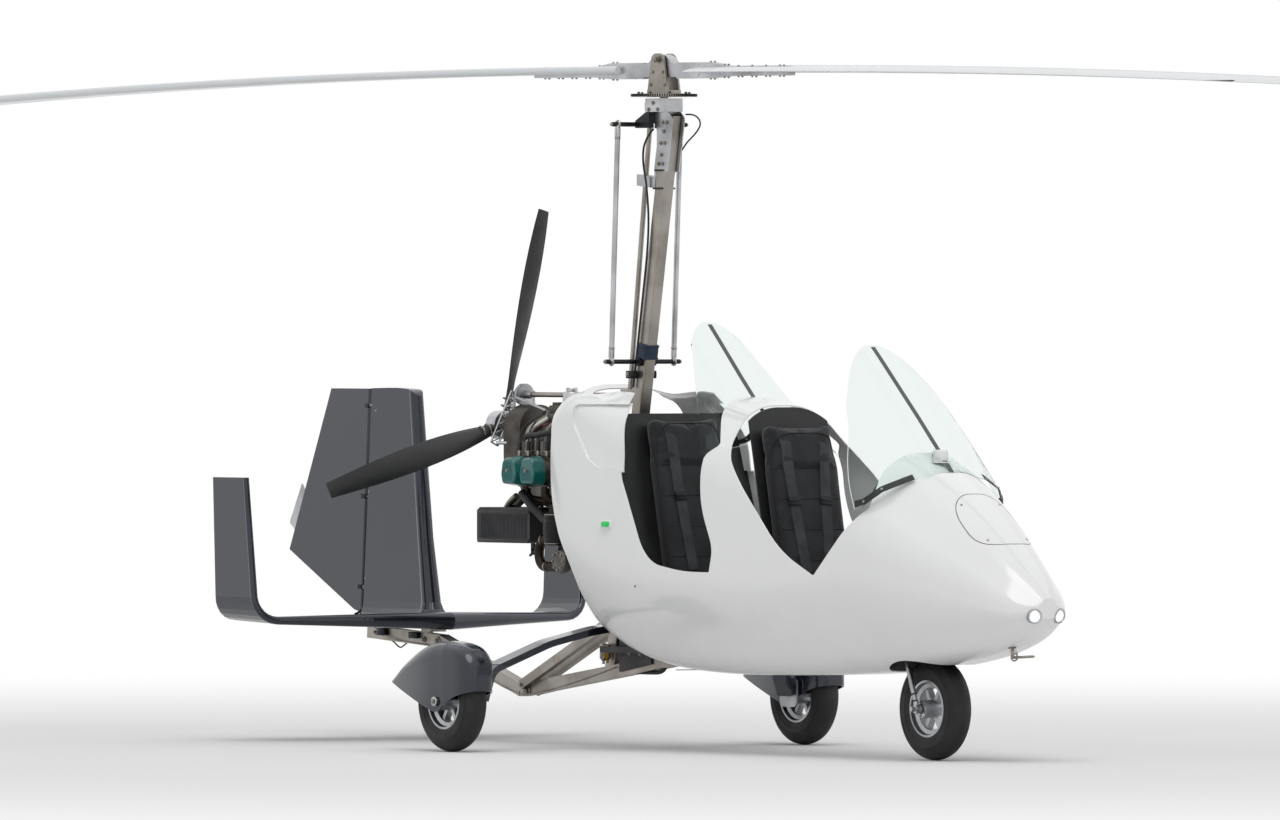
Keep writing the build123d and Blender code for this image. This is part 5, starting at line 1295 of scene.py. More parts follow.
def engine_leads():
    """Spark leads from the plugs to the ignition box, with fuel lines, water hoses and the loom."""
    leads = []
    for side in (-1, 1):
        for index, x in enumerate(CYLINDERS):
            for dx in PLUG_SPREAD:
                foot = Vector((x + dx, side * 0.212, CRANK_Z + 0.112))
                leads.append([
                    foot,
                    foot + Vector((0, 0, 0.04)),
                    (x + dx * 0.6, side * 0.17, 1.262 + index * 0.006),
                    (x + 0.02, side * 0.1, 1.315 + index * 0.008 + dx * 0.3),
                    (-0.47 - index * 0.05, side * 0.05 + dx * 0.4, 1.338),
                ])
    lines_piece("spark_leads", leads, 0.0028, *HOSE)
    fuel = [(-0.36, 0.05, 1.2), (-0.4, 0.08, 1.26), (-0.47, 0.12, 1.275)]
    fuel += [(-0.54, 0.15, 1.262), (-0.6, 0.15, 1.25)]
    lines_piece("fuel_lines", mirrored(fuel, (1, -1)), 0.005, RED_LEAD, "hose_black")
    coolant = [(-0.66, 0.18, 1.17), (-0.65, 0.205, 1.215), (-0.57, 0.213, 1.212)]
    coolant += [(-0.49, 0.21, 1.222), (-0.43, 0.17, 1.235), (-0.39, 0.12, 1.22)]
    lines_piece("coolant_hoses", mirrored(coolant), 0.0105, *HOSE)
    low = [
        [(-0.645, -0.22, 0.989), (-0.6, -0.225, 0.955), (-0.54, -0.222, 0.915), (-0.479, -0.22, 0.878)],
        [(-0.66, 0.05, 0.99), (-0.66, 0.09, 0.96), (-0.68, 0.06, 0.935), (-0.7, 0.0, 0.925)],
        [(-0.8, -0.05, 0.99), (-0.84, -0.07, 0.97), (-0.85, -0.1, 0.94), (-0.84, -0.12, 0.925)],
    ]
    lines_piece("water_hoses", low, 0.0165, *HOSE)
    pipe = [(-0.781, -0.15, 0.974), (-0.8, -0.15, 0.966), (-0.84, -0.15, 0.94), (-0.850, -0.15, 0.925)]
    lines_piece("water_pipe", [pipe], 0.0135, *STEEL)
    over = [(-0.36, 0.0, 1.34), (-0.44, 0.03, 1.352), (-0.56, 0.035, 1.34)]
    over += [(-0.7, 0.03, 1.3), (-0.8, 0.05, 1.24)]
    beside = [(-0.38, 0.07, 1.16), (-0.48, 0.1, 1.2), (-0.6, 0.1, 1.205)]
    beside += [(-0.74, 0.09, 1.19), (-0.82, 0.06, 1.15)]
    lines_piece("engine_loom", [over] + mirrored(beside), 0.0065, *HOSE)


def intake_fittings():
    """Carburettors, hose clamps, the ribbed ignition box and the expansion tank."""
    cast_metal, clamps, box, tank = bmesh.new(), bmesh.new(), bmesh.new(), bmesh.new()
    for side in (-1, 1):
        at = Vector((CARBURETTOR_X, side * 0.1, CARBURETTOR_Z))
        add_disc(cast_metal, at, X_WAY, 0.03, 0.06, 24, 0.004)
        add_disc(cast_metal, at + Vector((0, 0, 0.026)), Z_WAY, 0.034, 0.03, 24, 0.006)
        add_disc(cast_metal, at + Vector((0, 0, 0.045)), Z_WAY, 0.02, 0.016, 20, 0.004)
        add_disc(cast_metal, at + Vector((0, 0, -0.034)), Z_WAY, 0.022, 0.034, 20, 0.006)
        for dx in (-0.036, 0.036):
            add_ring(clamps, at + Vector((dx, 0, 0)), X_WAY, 0.027, 0.0026, 24, 6)
        add_bolt(clamps, at + Vector((0.036, side * 0.03, 0)), (0, side, 0), 0.004, False)
        for x in CYLINDERS:
            foot = Vector((x, side * 0.185, 1.15))
            add_ring(clamps, foot, Z_WAY, 0.021, 0.0028, 24, 6)
            add_block(cast_metal, foot + Vector((0, 0, -0.016)), (0.062, 0.05, 0.009), chamfer=0.004)
    middle = Vector((-0.47, 0.0, 1.322))
    add_block(box, middle, (0.13, 0.12, 0.05), chamfer=0.016, steps=3)
    for dx in (-0.035, 0.0, 0.035):
        add_block(box, middle + Vector((dx, 0, 0.0255)), (0.01, 0.094, 0.006), chamfer=0.0025)
    add_disc(tank, (TANK_X, 0.0, 1.352), Z_WAY, 0.036, 0.06, 28, 0.008)
    add_disc(tank, (TANK_X, 0.0, 1.388), Z_WAY, 0.022, 0.016, 20, 0.003)
    for dy in (-0.019, 0.019):
        add_block(tank, (TANK_X, dy, 1.393), (0.012, 0.012, 0.01), chamfer=0.003)
    finish_piece("carburettors", cast_metal, FINISH["engine_grey"], "engine_grey")
    finish_piece("hose_clamps", clamps, *STEEL)
    finish_piece("ignition_box", box, FINISH["black_composite"], "black_composite")
    finish_piece("expansion_tank", tank, FINISH["alloy"], "alloy")


def gearbox_fittings():
    """Bolts of the gearbox and the crankcase, the starter, the generator and the oil filter."""
    bolts, cans, dark = bmesh.new(), bmesh.new(), bmesh.new()
    tree = node_tree("engine_block")
    for turn, way in circle_ways(12, Y_WAY, Z_WAY):
        lift = math.copysign(0.05, math.sin(turn))
        hit = cast(tree, Vector((-1.4, 0, 1.18 + lift)) + way * 0.083, X_WAY)
        if hit and hit[0].x < -0.8:
            add_bolt(bolts, hit[0], -X_WAY, 0.0065)
    add_bar(cans, (-0.83, 0.115, 1.12), (-0.68, 0.115, 1.12), 0.034, 24, 0.006)
    add_bar(cans, (-0.68, 0.115, 1.12), (-0.665, 0.115, 1.12), 0.026, 24, 0.003)
    add_bar(cans, (-0.83, 0.125, 1.175), (-0.74, 0.125, 1.175), 0.018, 20, 0.004)
    filter_foot, filter_radius = Vector((-0.46, -0.06, 0.89)), 0.037
    add_bar(dark, filter_foot + Vector((0, 0, 0.075)), filter_foot, filter_radius, 28, 0.006)
    for _, way in circle_ways(16, X_WAY, Y_WAY):
        rib = filter_foot + way * filter_radius + Vector((0, 0, 0.01))
        add_bar(dark, rib, rib + Vector((0, 0, 0.018)), 0.0022, 6)
    add_bar(cans, (-0.405, 0.0, 1.06), (-0.375, 0.0, 1.06), 0.062, 32, 0.008)
    for _, way in circle_ways(6, Y_WAY, Z_WAY):
        add_bolt(bolts, Vector((-0.374, 0, 1.06)) + way * 0.046, X_WAY, 0.0055)
    add_block(dark, (-0.6, 0.0, 1.207), (0.2, 0.13, 0.034), chamfer=0.008, steps=3)
    for x in (-0.67, -0.62, -0.57, -0.52):
        add_block(dark, (x, 0.0, 1.226), (0.008, 0.11, 0.006), chamfer=0.0025)
    for x in (-0.45, -0.56, -0.67, -0.78):
        for side in (-1, 1):
            hit = cast(tree, Vector((x, side * 0.06, 1.5)), -Z_WAY)
            if hit and hit[0].z > 1.17:
                add_bolt(bolts, hit[0], Z_WAY, 0.0065)
            hit = cast(tree, Vector((x, side * 0.07, 0.8)), Z_WAY)
            if hit:
                add_bolt(bolts, hit[0], -Z_WAY, 0.0065)
    finish_piece("engine_bolts", bolts, *STEEL)
    finish_piece("starter_and_generator", cans, FINISH["alloy"], "alloy")
    finish_piece("oil_filter", dark, FINISH["black_composite"], "black_composite")


def exhaust_fittings():
    """The muffler's wrap, bands on the pipes, bolts and scrolls of the turbocharger, and its air duct."""
    bands, bolts, scroll, jacket = bmesh.new(), bmesh.new(), bmesh.new(), bmesh.new()
    for z in (0.793, 0.905):
        add_ring(bands, (MUFFLER_X, MUFFLER_Y, z), Z_WAY, 0.0425, 0.0022, 32, 6)
    wrap = [(0.0415, 0.790 - MUFFLER_Z)]
    for turn in range(WRAP_TURNS):
        z = 0.797 + turn * WRAP_PITCH - MUFFLER_Z
        bulge = 0.0425 + 0.0045 * math.cos(z / 0.06 * math.pi / 2)
        wrap += [(bulge, z - 0.0030), (bulge + 0.0022, z), (bulge, z + 0.0030)]
    wrap.append((0.0415, 0.909 - MUFFLER_Z))
    add_lathe(jacket, wrap, (MUFFLER_X, MUFFLER_Y, MUFFLER_Z), Z_WAY)
    finish_piece("muffler_wrap", jacket, HEAT_WRAP, "hose_black", sharp=60)
    for x, z in ((-0.48, 0.806), (-0.53, 0.806), (-0.505, 0.702)):
        add_ring(bands, (x, -0.2, z), X_WAY, 0.0195, 0.0028, 24, 6)
    for _, ray in circle_ways(8, X_WAY, Z_WAY):
        add_bolt(bolts, TURBO + Vector((0, -0.023, 0)) + ray * 0.034, -Y_WAY, 0.0048)
        add_bolt(bolts, TURBO + Vector((0, 0.022, 0)) + ray * 0.036, Y_WAY, 0.0048)
    add_ring(scroll, TURBO + Vector((0, 0.074, 0)), Y_WAY, 0.03, 0.015, 32, 10)
    add_ring(scroll, TURBO, Y_WAY, 0.034, 0.014, 32, 10)
    finish_piece("exhaust_bands", bands, *STEEL)
    finish_piece("turbo_bolts", bolts, *STEEL)
    finish_piece("turbo_scrolls", scroll, FINISH["engine_grey"], "engine_grey")
    duct = [(-0.4, -0.085, 0.724), (-0.4, -0.05, 0.73), (-0.39, -0.02, 0.78), (-0.38, 0.02, 0.86)]
    duct += [(-0.37, 0.07, 0.94), (-0.37, 0.1, 1.06), (-0.37, 0.09, 1.2)]
    duct += [(-0.39, 0.06, 1.28), (-0.42, 0.03, 1.29)]
    lines_piece("air_duct", [duct], 0.022, *HOSE)


# The radiator's core: its height, the fins on its rear and side face, and the edge left free of fins
CORE_Z = 0.856
REAR_FINS, SIDE_FINS = 26, 34
CORE_EDGE, SIDE_FIN_STEP = 0.012, 0.0094


def radiator_core():
    """Fins between the tanks on the radiator's faces, its cap and its hanger."""
    fins, tanks, hanger = bmesh.new(), bmesh.new(), bmesh.new()
    low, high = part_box("radiator")
    for row in range(REAR_FINS):
        y = low[1] + CORE_EDGE + row * (high[1] - low[1] - 2 * CORE_EDGE) / (REAR_FINS - 1)
        add_block(fins, (low[0] + 0.0006, y, CORE_Z), (0.003, 0.0035, 0.1), chamfer=0.0006, steps=1)
    for row in range(SIDE_FINS):
        x = low[0] + 0.03 + row * SIDE_FIN_STEP
        add_block(fins, (x, low[1] + 0.0006, CORE_Z), (0.0035, 0.003, 0.092), chamfer=0.0006, steps=1)
    middle_x, middle_y = (low[0] + high[0]) / 2, (low[1] + high[1]) / 2
    for z in (0.8, 0.912):
        add_block(tanks, (middle_x, low[1] + 0.001, z), (0.35, 0.008, 0.016), chamfer=0.003)
        add_block(tanks, (low[0] + 0.001, middle_y, z), (0.008, 0.268, 0.016), chamfer=0.003)
    add_disc(tanks, (-0.9, 0.02, 0.936), Z_WAY, 0.02, 0.012, 20, 0.003)
    for y in (-0.13, 0.0):
        add_block(hanger, (-0.7, y, 0.77), (0.024, 0.004, 0.05), chamfer=0.001, steps=1)
        add_bolt(hanger, (-0.7, y - 0.002, 0.765), -Y_WAY, 0.006)
        add_bar(hanger, (-0.7, y, 0.752), (-0.72, y, 0.742), 0.005, 10, 0.001)
        add_bar(hanger, (-0.69, y, 0.79), (-0.66, y, 0.74), 0.0035, 8, 0.0008)
    finish_piece("radiator_fins", fins, FINISH["steel_dark"], "steel_dark")
    finish_piece("radiator_tanks", tanks, FINISH["black_composite"], "black_composite")
    finish_piece("radiator_hanger", hanger, FINISH["steel_dark"], "steel_dark")


cover_trims()
cylinder_heads()
engine_leads()
intake_fittings()
gearbox_fittings()
exhaust_fittings()
radiator_core()

# Propeller


# A vertex of the propeller further out than this is at a blade's tip
TIP_REACH = 0.84


def blade_angles():
    """The angles at which the propeller's blades stand, read from their tips."""
    tips = []
    for vert in nodes["propeller_blades"].data.vertices:
        ray = vert.co - PROP_AXLE
        ray.x = 0
        if ray.length > TIP_REACH:
            turn = math.atan2(ray.z, ray.y)
            if all(abs((turn - other + math.pi) % (2 * math.pi) - math.pi) > 0.5 for other in tips):
                tips.append(turn)
    return tips


def propeller_fittings():
    """Hub plate with its bolts and centre cap, and the blade clamps."""
    bm = bmesh.new()
    add_disc(bm, PROP_AXLE + Vector((-0.041, 0, 0)), X_WAY, 0.052, 0.004, 32, 0.001)
    for _, ray in circle_ways(6, Y_WAY, Z_WAY, 0.5):
        add_bolt(bm, PROP_AXLE + Vector((-0.043, 0, 0)) + ray * 0.04, -X_WAY, 0.0075)
    add_disc(bm, PROP_AXLE + Vector((-0.064, 0, 0)), -X_WAY, 0.018, 0.01, 20, 0.004)
    for turn in blade_angles():
        ray = Vector((0, math.cos(turn), math.sin(turn)))
        for reach in (0.075, 0.105):
            add_ring(bm, PROP_AXLE + ray * reach, ray, 0.0245 - (reach - 0.075) * 0.05, 0.003, 24, 6)
    finish_piece("propeller_bolts", bm, *STEEL, "propeller")


propeller_fittings()

# Wheels and landing gear

WHEEL_Z = 0.195
MAIN_AXLE_X, MAIN_WHEEL_Y = -0.23, 0.836
NOSE_AXLE_X = 1.768
FORK_RAKE = math.radians(20)
# Columns: body, middle, rim and tyre of each wheel
WHEELS = (
    ("left_wheel", Vector((MAIN_AXLE_X, MAIN_WHEEL_Y, WHEEL_Z)), "left_rim", "left_tyre"),
    ("right_wheel", Vector((MAIN_AXLE_X, -MAIN_WHEEL_Y, WHEEL_Z)), "right_rim", "right_tyre"),
    ("nose_wheel", Vector((NOSE_AXLE_X, 0.0, WHEEL_Z)), "nose_rim", "nose_tyre"),
)
# Radii on a wheel: moulded lines on the tyre's wall, hub bolts, bearing seal
WALL_LINES = (0.128, 0.152, 0.158)
HUB_BOLT_REACH = 0.0265
SEAL_RADIUS = 0.0175


def wheel_trims():
    """Moulded lines on the tyre walls, hub bolts, bearing seals and valves of the three wheels."""
    for body, middle, rim, tyre in WHEELS:
        ribs, metal, dark = bmesh.new(), bmesh.new(), bmesh.new()
        tree, rim_tree = node_tree(tyre), node_tree(rim)
        for side in (-1, 1):
            out = Vector((0, side, 0))
            outside = middle + out * 0.3
            for reach in WALL_LINES:
                hit = cast(tree, outside + X_WAY * reach, -out)
                if hit:
                    add_ring(ribs, (middle.x, hit[0].y, middle.z), out, reach, 0.0011, 72, 6)
            for _, ray in circle_ways(6, X_WAY, Z_WAY, 0.5):
                hit = cast(rim_tree, outside + ray * HUB_BOLT_REACH, -out)
                if hit:
                    add_bolt(metal, hit[0], out, 0.0052)
            hit = cast(rim_tree, outside + X_WAY * SEAL_RADIUS, -out)
            if hit:
                add_ring(dark, (middle.x, hit[0].y, middle.z), out, SEAL_RADIUS, 0.0024, 32, 8)
        valve_foot = middle + Vector((0.066, 0.02, 0.066))
        valve_neck = valve_foot + Vector((-0.008, 0.018, -0.008))
        add_bar(dark, valve_foot, valve_neck, 0.004, 12, 0.001)
        add_bar(metal, valve_neck, valve_foot + Vector((-0.011, 0.025, -0.011)), 0.0034, 12, 0.0008)
        finish_piece(tyre + "_ribs", ribs, FINISH["tyre_rubber"], "tyre_rubber", body, 60)
        finish_piece(rim + "_bolts", metal, *STEEL, body)
        finish_piece(rim + "_seals", dark, *HOSE, body)


def fairing_fittings():
    """The round plate and bolt on each wheel fairing at its axle, and its screws."""
    bm, plates = bmesh.new(), bmesh.new()
    right_end, left_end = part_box("right_axle")[0][1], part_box("left_axle")[1][1]
    for side, name, axle_end in ((-1, "right_wheel_fairing", right_end), (1, "left_wheel_fairing", left_end)):
        tree = node_tree(name)
        at = Vector((MAIN_AXLE_X, axle_end, WHEEL_Z))
        add_disc(plates, at, (0, side, 0), 0.0185, 0.003, 32, 0.001)
        add_bolt(bm, at + Vector((0, side * 0.0015, 0)), (0, side, 0), 0.0095)
        for x, z in ((-0.44, 0.30), (-0.09, 0.33)):
            hit = cast(tree, Vector((x, side * 0.5, z)), (0, side, 0))
            if hit:
                add_screw(bm, hit[0], hit[1], 0.005)
    finish_piece("fairing_plates", plates, FINISH["alloy"], "alloy")
    finish_piece("fairing_bolts", bm, *STEEL)


def bow_fittings():
    """Bolts through the gear bow's clamp, and a brake hose below each half of the bow."""
    bm = bmesh.new()
    clamp, bow = node_tree("gear_clamp"), node_tree("gear_bow")
    for x in (-0.27, -0.13, -0.06):
        for y in (-0.072, 0.072):
            for level in (-1, 1):
                hit = cast(clamp, Vector((x, y, 0.4 + level * 0.4)), (0, 0, -level))
                if hit:
                    add_bolt(bm, hit[0], hit[1], 0.0085)
    hoses = []
    for side in (-1, 1):
        starts = [Vector((-0.2, side * (0.12 + step * 0.07), 0.0)) for step in range(8)]
        hits = lifted(cast_row(bow, [(start, Z_WAY) for start in starts]), 0.003)
        hoses.append([point for point, _ in hits])
    lines_piece("brake_hoses", hoses, 0.0035, *HOSE)
    finish_piece("bow_bolts", bm, *STEEL)


def fork_fittings():
    """Rings on the fork's legs, the rims of its towing pins, and the bolts on its crown."""
    bm, dark = bmesh.new(), bmesh.new()
    fork = node_tree("nose_fork")
    for side in (-1, 1):
        out = Vector((0, side, 0))
        for z in (0.225, 0.25):
            x = NOSE_AXLE_X - (z - WHEEL_Z) * math.tan(FORK_RAKE)
            hit = cast(fork, Vector((x, side * 0.4, z)), -out)
            if hit:
                add_ring(dark, hit[0] + out * -0.006, (-0.34, 0, 0.94), 0.0118, 0.0018, 20, 6)
        add_ring(bm, (NOSE_AXLE_X, side * 0.112, WHEEL_Z), out, 0.0078, 0.0012, 20, 6)
        hit = cast(fork, Vector((1.68, side * 0.04, 0.7)), -Z_WAY)
        if hit and hit[0].z < 0.45:
            add_bolt(bm, hit[0], hit[1], 0.0075)
    finish_piece("fork_bolts", bm, *STEEL, "fork")
    finish_piece("fork_rings", dark, FINISH["steel_dark"], "steel_dark", "fork")


wheel_trims()
fairing_fittings()
bow_fittings()
fork_fittings()

# Keel and belly

YELLOW_STEEL = bare_metal("yellow plated steel", "#a78534", "#7e6428", 0.35, EVEN)


def keel_fittings():
    """Bolts at the keel's bend and joints, belly fittings, the rubber loop and the control cables."""
    bm, gold = bmesh.new(), bmesh.new()
    keel_tree, carrier_tree = node_tree("keel"), node_tree("tail_carrier")
    for side in (-1, 1):
        out = Vector((0, side, 0))
        # Columns: place (x, z), size of the bolt, radius of its washer
        for (x, z), size, plate in (
            ((-0.887, 0.21), 0.014, 0.021),
            ((-1.505, 0.394), 0.011, 0.018),
            ((-1.60, 0.399), 0.008, 0.012),
            ((-1.94, 0.422), 0.008, 0.012),
        ):
            tree = keel_tree if x > -0.95 else carrier_tree
            hit = cast(tree, Vector((x, side * 0.4, z)), -out)
            if hit:
                add_disc(bm, hit[0] + out * 0.002, out, plate, 0.005, 24, 0.0015)
                add_bolt(bm, hit[0] + out * 0.004, out, size)
    # Columns: place (x, y), radius, heights of the lower and upper end, mesh
    for (x, y), radius, low, high, piece in (
        ((-0.335, -0.05), 0.015, 0.345, 0.405, bm),
        ((-0.305, -0.052), 0.013, 0.35, 0.40, gold),
        ((-0.335, 0.05), 0.015, 0.345, 0.405, bm),
    ):
        add_bar(piece, (x, y, low), (x, y, high), radius, 24, 0.003)
        add_bar(piece, (x, y, low - 0.02), (x, y, low), radius * 0.35, 12, 0.001)
        add_disc(piece, (x, y, low - 0.003), Z_WAY, radius * 0.7, 0.008, 6, 0.001)
    turns = [math.pi * (step / 12 - 0.5) for step in range(13)]
    bend = [(-0.05 + 0.06 * math.cos(turn), 0.0, 0.325 + 0.028 * math.sin(turn)) for turn in turns]
    loop = [(-0.25, 0.0, 0.297), (-0.15, 0.0, 0.296)] + bend + [(-0.12, 0.0, 0.352)]
    lines_piece("rubber_loop", [loop], 0.0085, *HOSE)
    to_nose = [(0.10, 0.014, 0.31), (0.4, 0.02, 0.318), (0.8, 0.022, 0.32)]
    to_nose += [(1.2, 0.022, 0.33), (1.52, 0.02, 0.345)]
    to_bend = [(-0.28, 0.03, 0.315), (-0.5, 0.031, 0.262), (-0.75, 0.031, 0.214), (-0.9, 0.031, 0.192)]
    rising = ((-0.9, 0.192), (-1.0, 0.205), (-1.2, 0.272), (-1.4, 0.34), (-1.5, 0.372))
    to_horn = [(-1.5, 0.031, 0.372), (-1.7, 0.033, 0.386), (-1.85, 0.036, 0.4), (-2.02, 0.05, 0.487)]
    routes = (to_nose, to_bend, [(x, 0.031, z) for x, z in rising], to_horn)
    cables = [cable for route in routes for cable in mirrored(route)]
    lines_piece("control_cables", cables, 0.0017, *STEEL)
    finish_piece("keel_bolts", bm, *STEEL)
    finish_piece("belly_fitting", gold, YELLOW_STEEL, "alloy")


keel_fittings()

# Tail


def rudder_fittings():
    """Hinge knuckles with their screws, and the rudder horn with its cable bolts."""
    fixed, swung = bmesh.new(), bmesh.new()
    low, high = Vector((-2.059, 0, 0.531)), Vector((-2.002, 0, 1.39))
    way = (high - low).normalized()
    for share in (0.1, 0.5, 0.9):
        at = low.lerp(high, share)
        add_disc(fixed, at + way * 0.018, way, 0.009, 0.016, 18, 0.002)
        add_disc(fixed, at - way * 0.018, way, 0.009, 0.016, 18, 0.002)
        add_disc(swung, at, way, 0.0088, 0.017, 18, 0.002)
        for side in (-1, 1):
            add_screw(fixed, at + Vector((0.03, side * 0.016, 0.018)), (0, side, 0), 0.005)
    for side in (-1, 1):
        horn_end = low + Vector((0.03, side * 0.062, -0.042))
        add_bar(swung, low + Vector((0.0, side * 0.012, -0.024)), horn_end, 0.0055, 10, 0.001)
        add_bolt(swung, horn_end + Vector((0, 0, 0.004)), Z_WAY, 0.005)
    finish_piece("hinge_knuckles", fixed, *STEEL)
    finish_piece("rudder_horn", swung, FINISH["steel_dark"], "steel_dark", "rudder_body")


def tail_fittings():
    """Bolts and brackets below the tailplane, its screws and the joint lines at the tip fins."""
    bm, dark, lines = bmesh.new(), bmesh.new(), bmesh.new()
    plane, centre_fin = node_tree("tailplane"), node_tree("centre_fin")
    for side in (-1, 1):
        for level in (-1, 1):
            places = [-1.615 - step * 0.0185 for step in range(22)]
            starts = [Vector((x, side * 0.705, 0.55 + level * 0.5)) for x in places]
            hits = cast_row(plane, [(start, (0, 0, -level)) for start in starts])
            hits = [hit for hit in hits if abs(hit[1].z) > 0.3]
            if len(hits) > 6:
                add_strip(lines, lifted(hits, 0.0004), 0.0028, 0.0006)
        for x in (-1.50, -1.62, -1.74, -1.86):
            hit = cast(plane, Vector((x, side * 0.075, 0.8)), -Z_WAY)
            if hit:
                add_screw(bm, hit[0], hit[1], 0.005)
            hit = cast(plane, Vector((x, side * 0.045, 0.1)), Z_WAY)
            if hit:
                add_bolt(bm, hit[0], hit[1], 0.0075)
        add_block(dark, (-1.88, side * 0.034, 0.425), (0.05, 0.016, 0.03), chamfer=0.003)
        add_block(dark, (-1.66, side * 0.034, 0.415), (0.06, 0.014, 0.026), chamfer=0.003)
        fin = cast(centre_fin, Vector((-1.95, side * 0.4, 1.3)), (0, -side, 0))
        if fin:
            add_screw(bm, fin[0], fin[1], 0.005)
    low_run = ((-1.9, 0.40), (-1.86, 0.392), (-1.81, 0.362), (-1.79, 0.365), (-1.74, 0.392), (-1.64, 0.392))
    lines_piece("tail_cable", [[(x, 0.0, z) for x, z in low_run]], 0.003, *HOSE)
    finish_piece("tail_bolts", bm, *STEEL)
    finish_piece("tail_brackets", dark, FINISH["steel_dark"], "steel_dark")
    finish_piece("tail_lines", lines, GROOVE, "dark_metallic", sharp=60)


rudder_fittings()
tail_fittings()

# Camera at the photo's viewing angle

CAMERA_AZIMUTH = math.radians(54.6)
CAMERA_DISTANCE = 60.0
CAMERA_HEIGHT = 1.7
FOCAL_PIXELS = 15516.0
PHOTO_SIZE = (1280.0, 820.0)
ORIGIN_PIXEL = (664.0, 310.0)


def photo_camera():
    """The camera that stands where the photo was taken."""
    data = bpy.data.cameras.new("photo_camera")
    data.sensor_width = 36.0
    data.lens = FOCAL_PIXELS / PHOTO_SIZE[0] * data.sensor_width
    data.clip_start = 1.0
    data.clip_end = 2000.0
    camera = bpy.data.objects.new("photo_camera", data)
    bpy.context.scene.collection.objects.link(camera)
    right = Vector((math.cos(CAMERA_AZIMUTH), math.sin(CAMERA_AZIMUTH), 0.0))
    ahead = Vector((-math.sin(CAMERA_AZIMUTH), math.cos(CAMERA_AZIMUTH), 0.0))
    camera.location = ahead * -CAMERA_DISTANCE + Vector((0.0, 0.0, CAMERA_HEIGHT))
    aim = ahead + right * ((PHOTO_SIZE[0] / 2 - ORIGIN_PIXEL[0]) / FOCAL_PIXELS)
    aim = aim + Vector((0.0, 0.0, (ORIGIN_PIXEL[1] - PHOTO_SIZE[1] / 2) / FOCAL_PIXELS))
    camera.rotation_mode = "QUATERNION"
    camera.rotation_quaternion = aim.to_track_quat("-Z", "Y")
    bpy.context.scene.camera = camera


photo_camera()

# Floor, background and light


def seen_directly(tree):
    """A socket that is 1 for what the camera sees, also in gloss and through glass, and 0 otherwise."""
    path = tree.nodes.new("ShaderNodeLightPath")
    found = path.outputs["Is Camera Ray"]
    for label in ("Is Glossy Ray", "Is Transmission Ray"):
        either = tree.nodes.new("ShaderNodeMath")
        either.operation = "MAXIMUM"
        wire(tree, found, either.inputs[0])
        wire(tree, path.outputs[label], either.inputs[1])
        found = either.outputs["Value"]
    return found


FLOOR_RADIUS = 600.0
FLOOR_COLOUR = (0.83, 0.83, 0.83, 1.0)
WHITE = (1.0, 1.0, 1.0, 1.0)
# The floor turns from pale grey to white between these distances from the middle
FADE_START, FADE_END = 3.0, 13.0


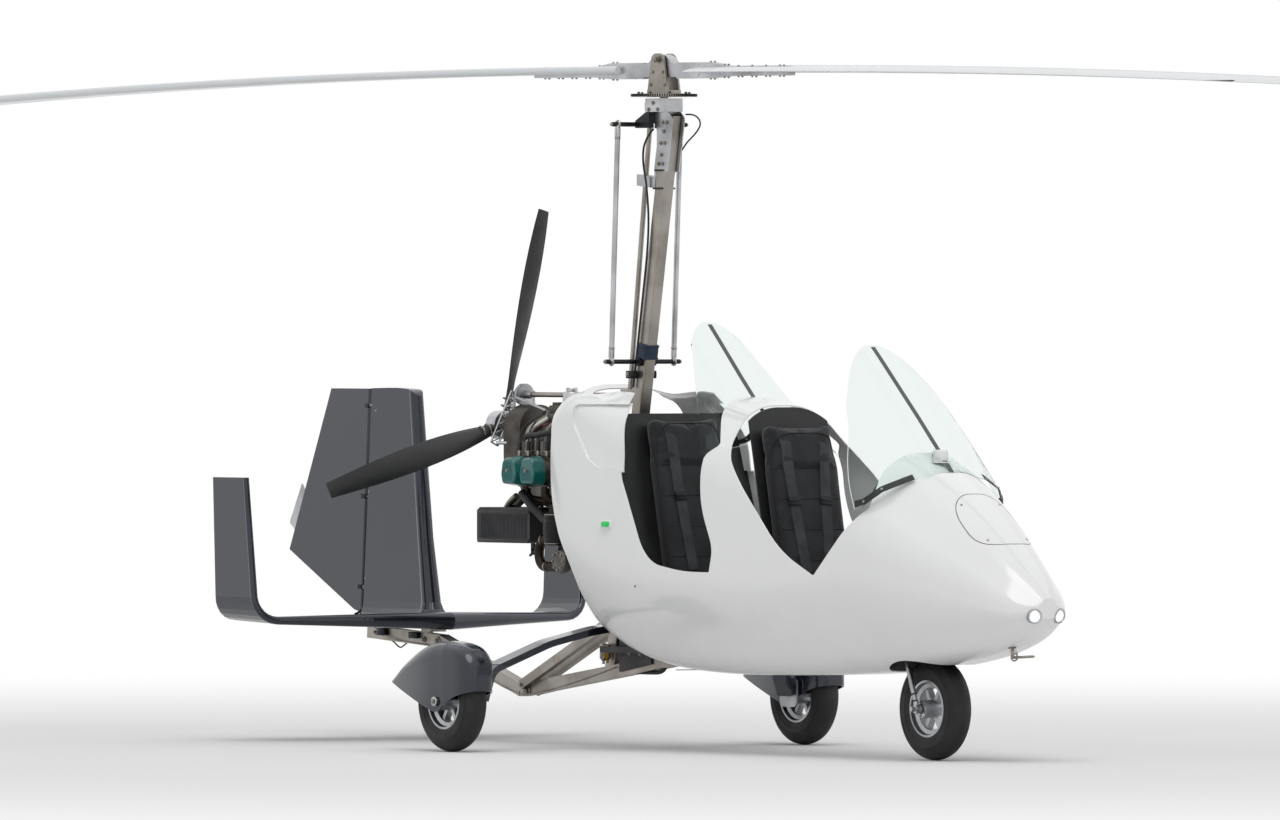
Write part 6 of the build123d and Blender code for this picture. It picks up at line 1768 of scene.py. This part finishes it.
def pale_floor():
    """A pale floor that keeps the shadow and fades into the white background."""
    bm = bmesh.new()
    bmesh.ops.create_circle(bm, cap_ends=True, segments=96, radius=FLOOR_RADIUS)
    mesh = bpy.data.meshes.new("floor")
    bm.to_mesh(mesh)
    bm.free()
    floor = bpy.data.objects.new("floor", mesh)
    bpy.context.scene.collection.objects.link(floor)
    material = bpy.data.materials.new("pale floor")
    material.use_nodes = True
    tree = material.node_tree
    tree.nodes.remove(tree.nodes["Principled BSDF"])
    out = tree.nodes["Material Output"]
    plain = tree.nodes.new("ShaderNodeBsdfDiffuse")
    plain.inputs["Color"].default_value = FLOOR_COLOUR
    white = tree.nodes.new("ShaderNodeEmission")
    white.inputs["Color"].default_value = WHITE
    place = tree.nodes.new("ShaderNodeTexCoord")
    away = tree.nodes.new("ShaderNodeVectorMath")
    away.operation = "LENGTH"
    fade = tree.nodes.new("ShaderNodeMapRange")
    fade.interpolation_type = "SMOOTHSTEP"
    fade.inputs["From Min"].default_value = FADE_START
    fade.inputs["From Max"].default_value = FADE_END
    fade_seen = tree.nodes.new("ShaderNodeMath")
    fade_seen.operation = "MULTIPLY"
    mixed = tree.nodes.new("ShaderNodeMixShader")
    below = tree.nodes.new("ShaderNodeNewGeometry")
    clear = tree.nodes.new("ShaderNodeBsdfTransparent")
    ends = tree.nodes.new("ShaderNodeMixShader")
    wire(tree, place.outputs["Object"], away.inputs[0])
    wire(tree, away.outputs["Value"], fade.inputs["Value"])
    wire(tree, seen_directly(tree), fade_seen.inputs[0])
    wire(tree, fade.outputs["Result"], fade_seen.inputs[1])
    wire(tree, fade_seen.outputs["Value"], mixed.inputs["Fac"])
    wire(tree, plain.outputs["BSDF"], mixed.inputs[1])
    wire(tree, white.outputs["Emission"], mixed.inputs[2])
    wire(tree, below.outputs["Backfacing"], ends.inputs["Fac"])
    wire(tree, mixed.outputs["Shader"], ends.inputs[1])
    wire(tree, clear.outputs["BSDF"], ends.inputs[2])
    wire(tree, ends.outputs["Shader"], out.inputs["Surface"])
    mesh.materials.append(material)


def plain_sky(level):
    """An even pale sky that shows white to the camera, to gloss and through glass."""
    world = bpy.data.worlds.new("plain sky")
    bpy.context.scene.world = world
    world.use_nodes = True
    tree = world.node_tree
    sky = tree.nodes["Background"]
    strength = tree.nodes.new("ShaderNodeMapRange")
    strength.inputs["To Min"].default_value = level
    strength.inputs["To Max"].default_value = 1.0
    wire(tree, seen_directly(tree), strength.inputs["Value"])
    wire(tree, strength.outputs["Result"], sky.inputs["Strength"])
    sky.inputs["Color"].default_value = WHITE


def soft_lamp(name, direction, strength, spread):
    """A distant soft lamp that shines along a direction."""
    data = bpy.data.lights.new(name, "SUN")
    data.energy = strength
    data.angle = math.radians(spread)
    lamp = bpy.data.objects.new(name, data)
    lamp.rotation_mode = "QUATERNION"
    lamp.rotation_quaternion = Vector(direction).to_track_quat("-Z", "Y")
    bpy.context.scene.collection.objects.link(lamp)


pale_floor()
plain_sky(0.5)
soft_lamp("key_lamp", (-0.55, 0.35, -1.0), 0.95, 40)
soft_lamp("top_lamp", (0.1, -0.1, -1.0), 0.45, 90)
bpy.context.scene.view_settings.view_transform = "Standard"
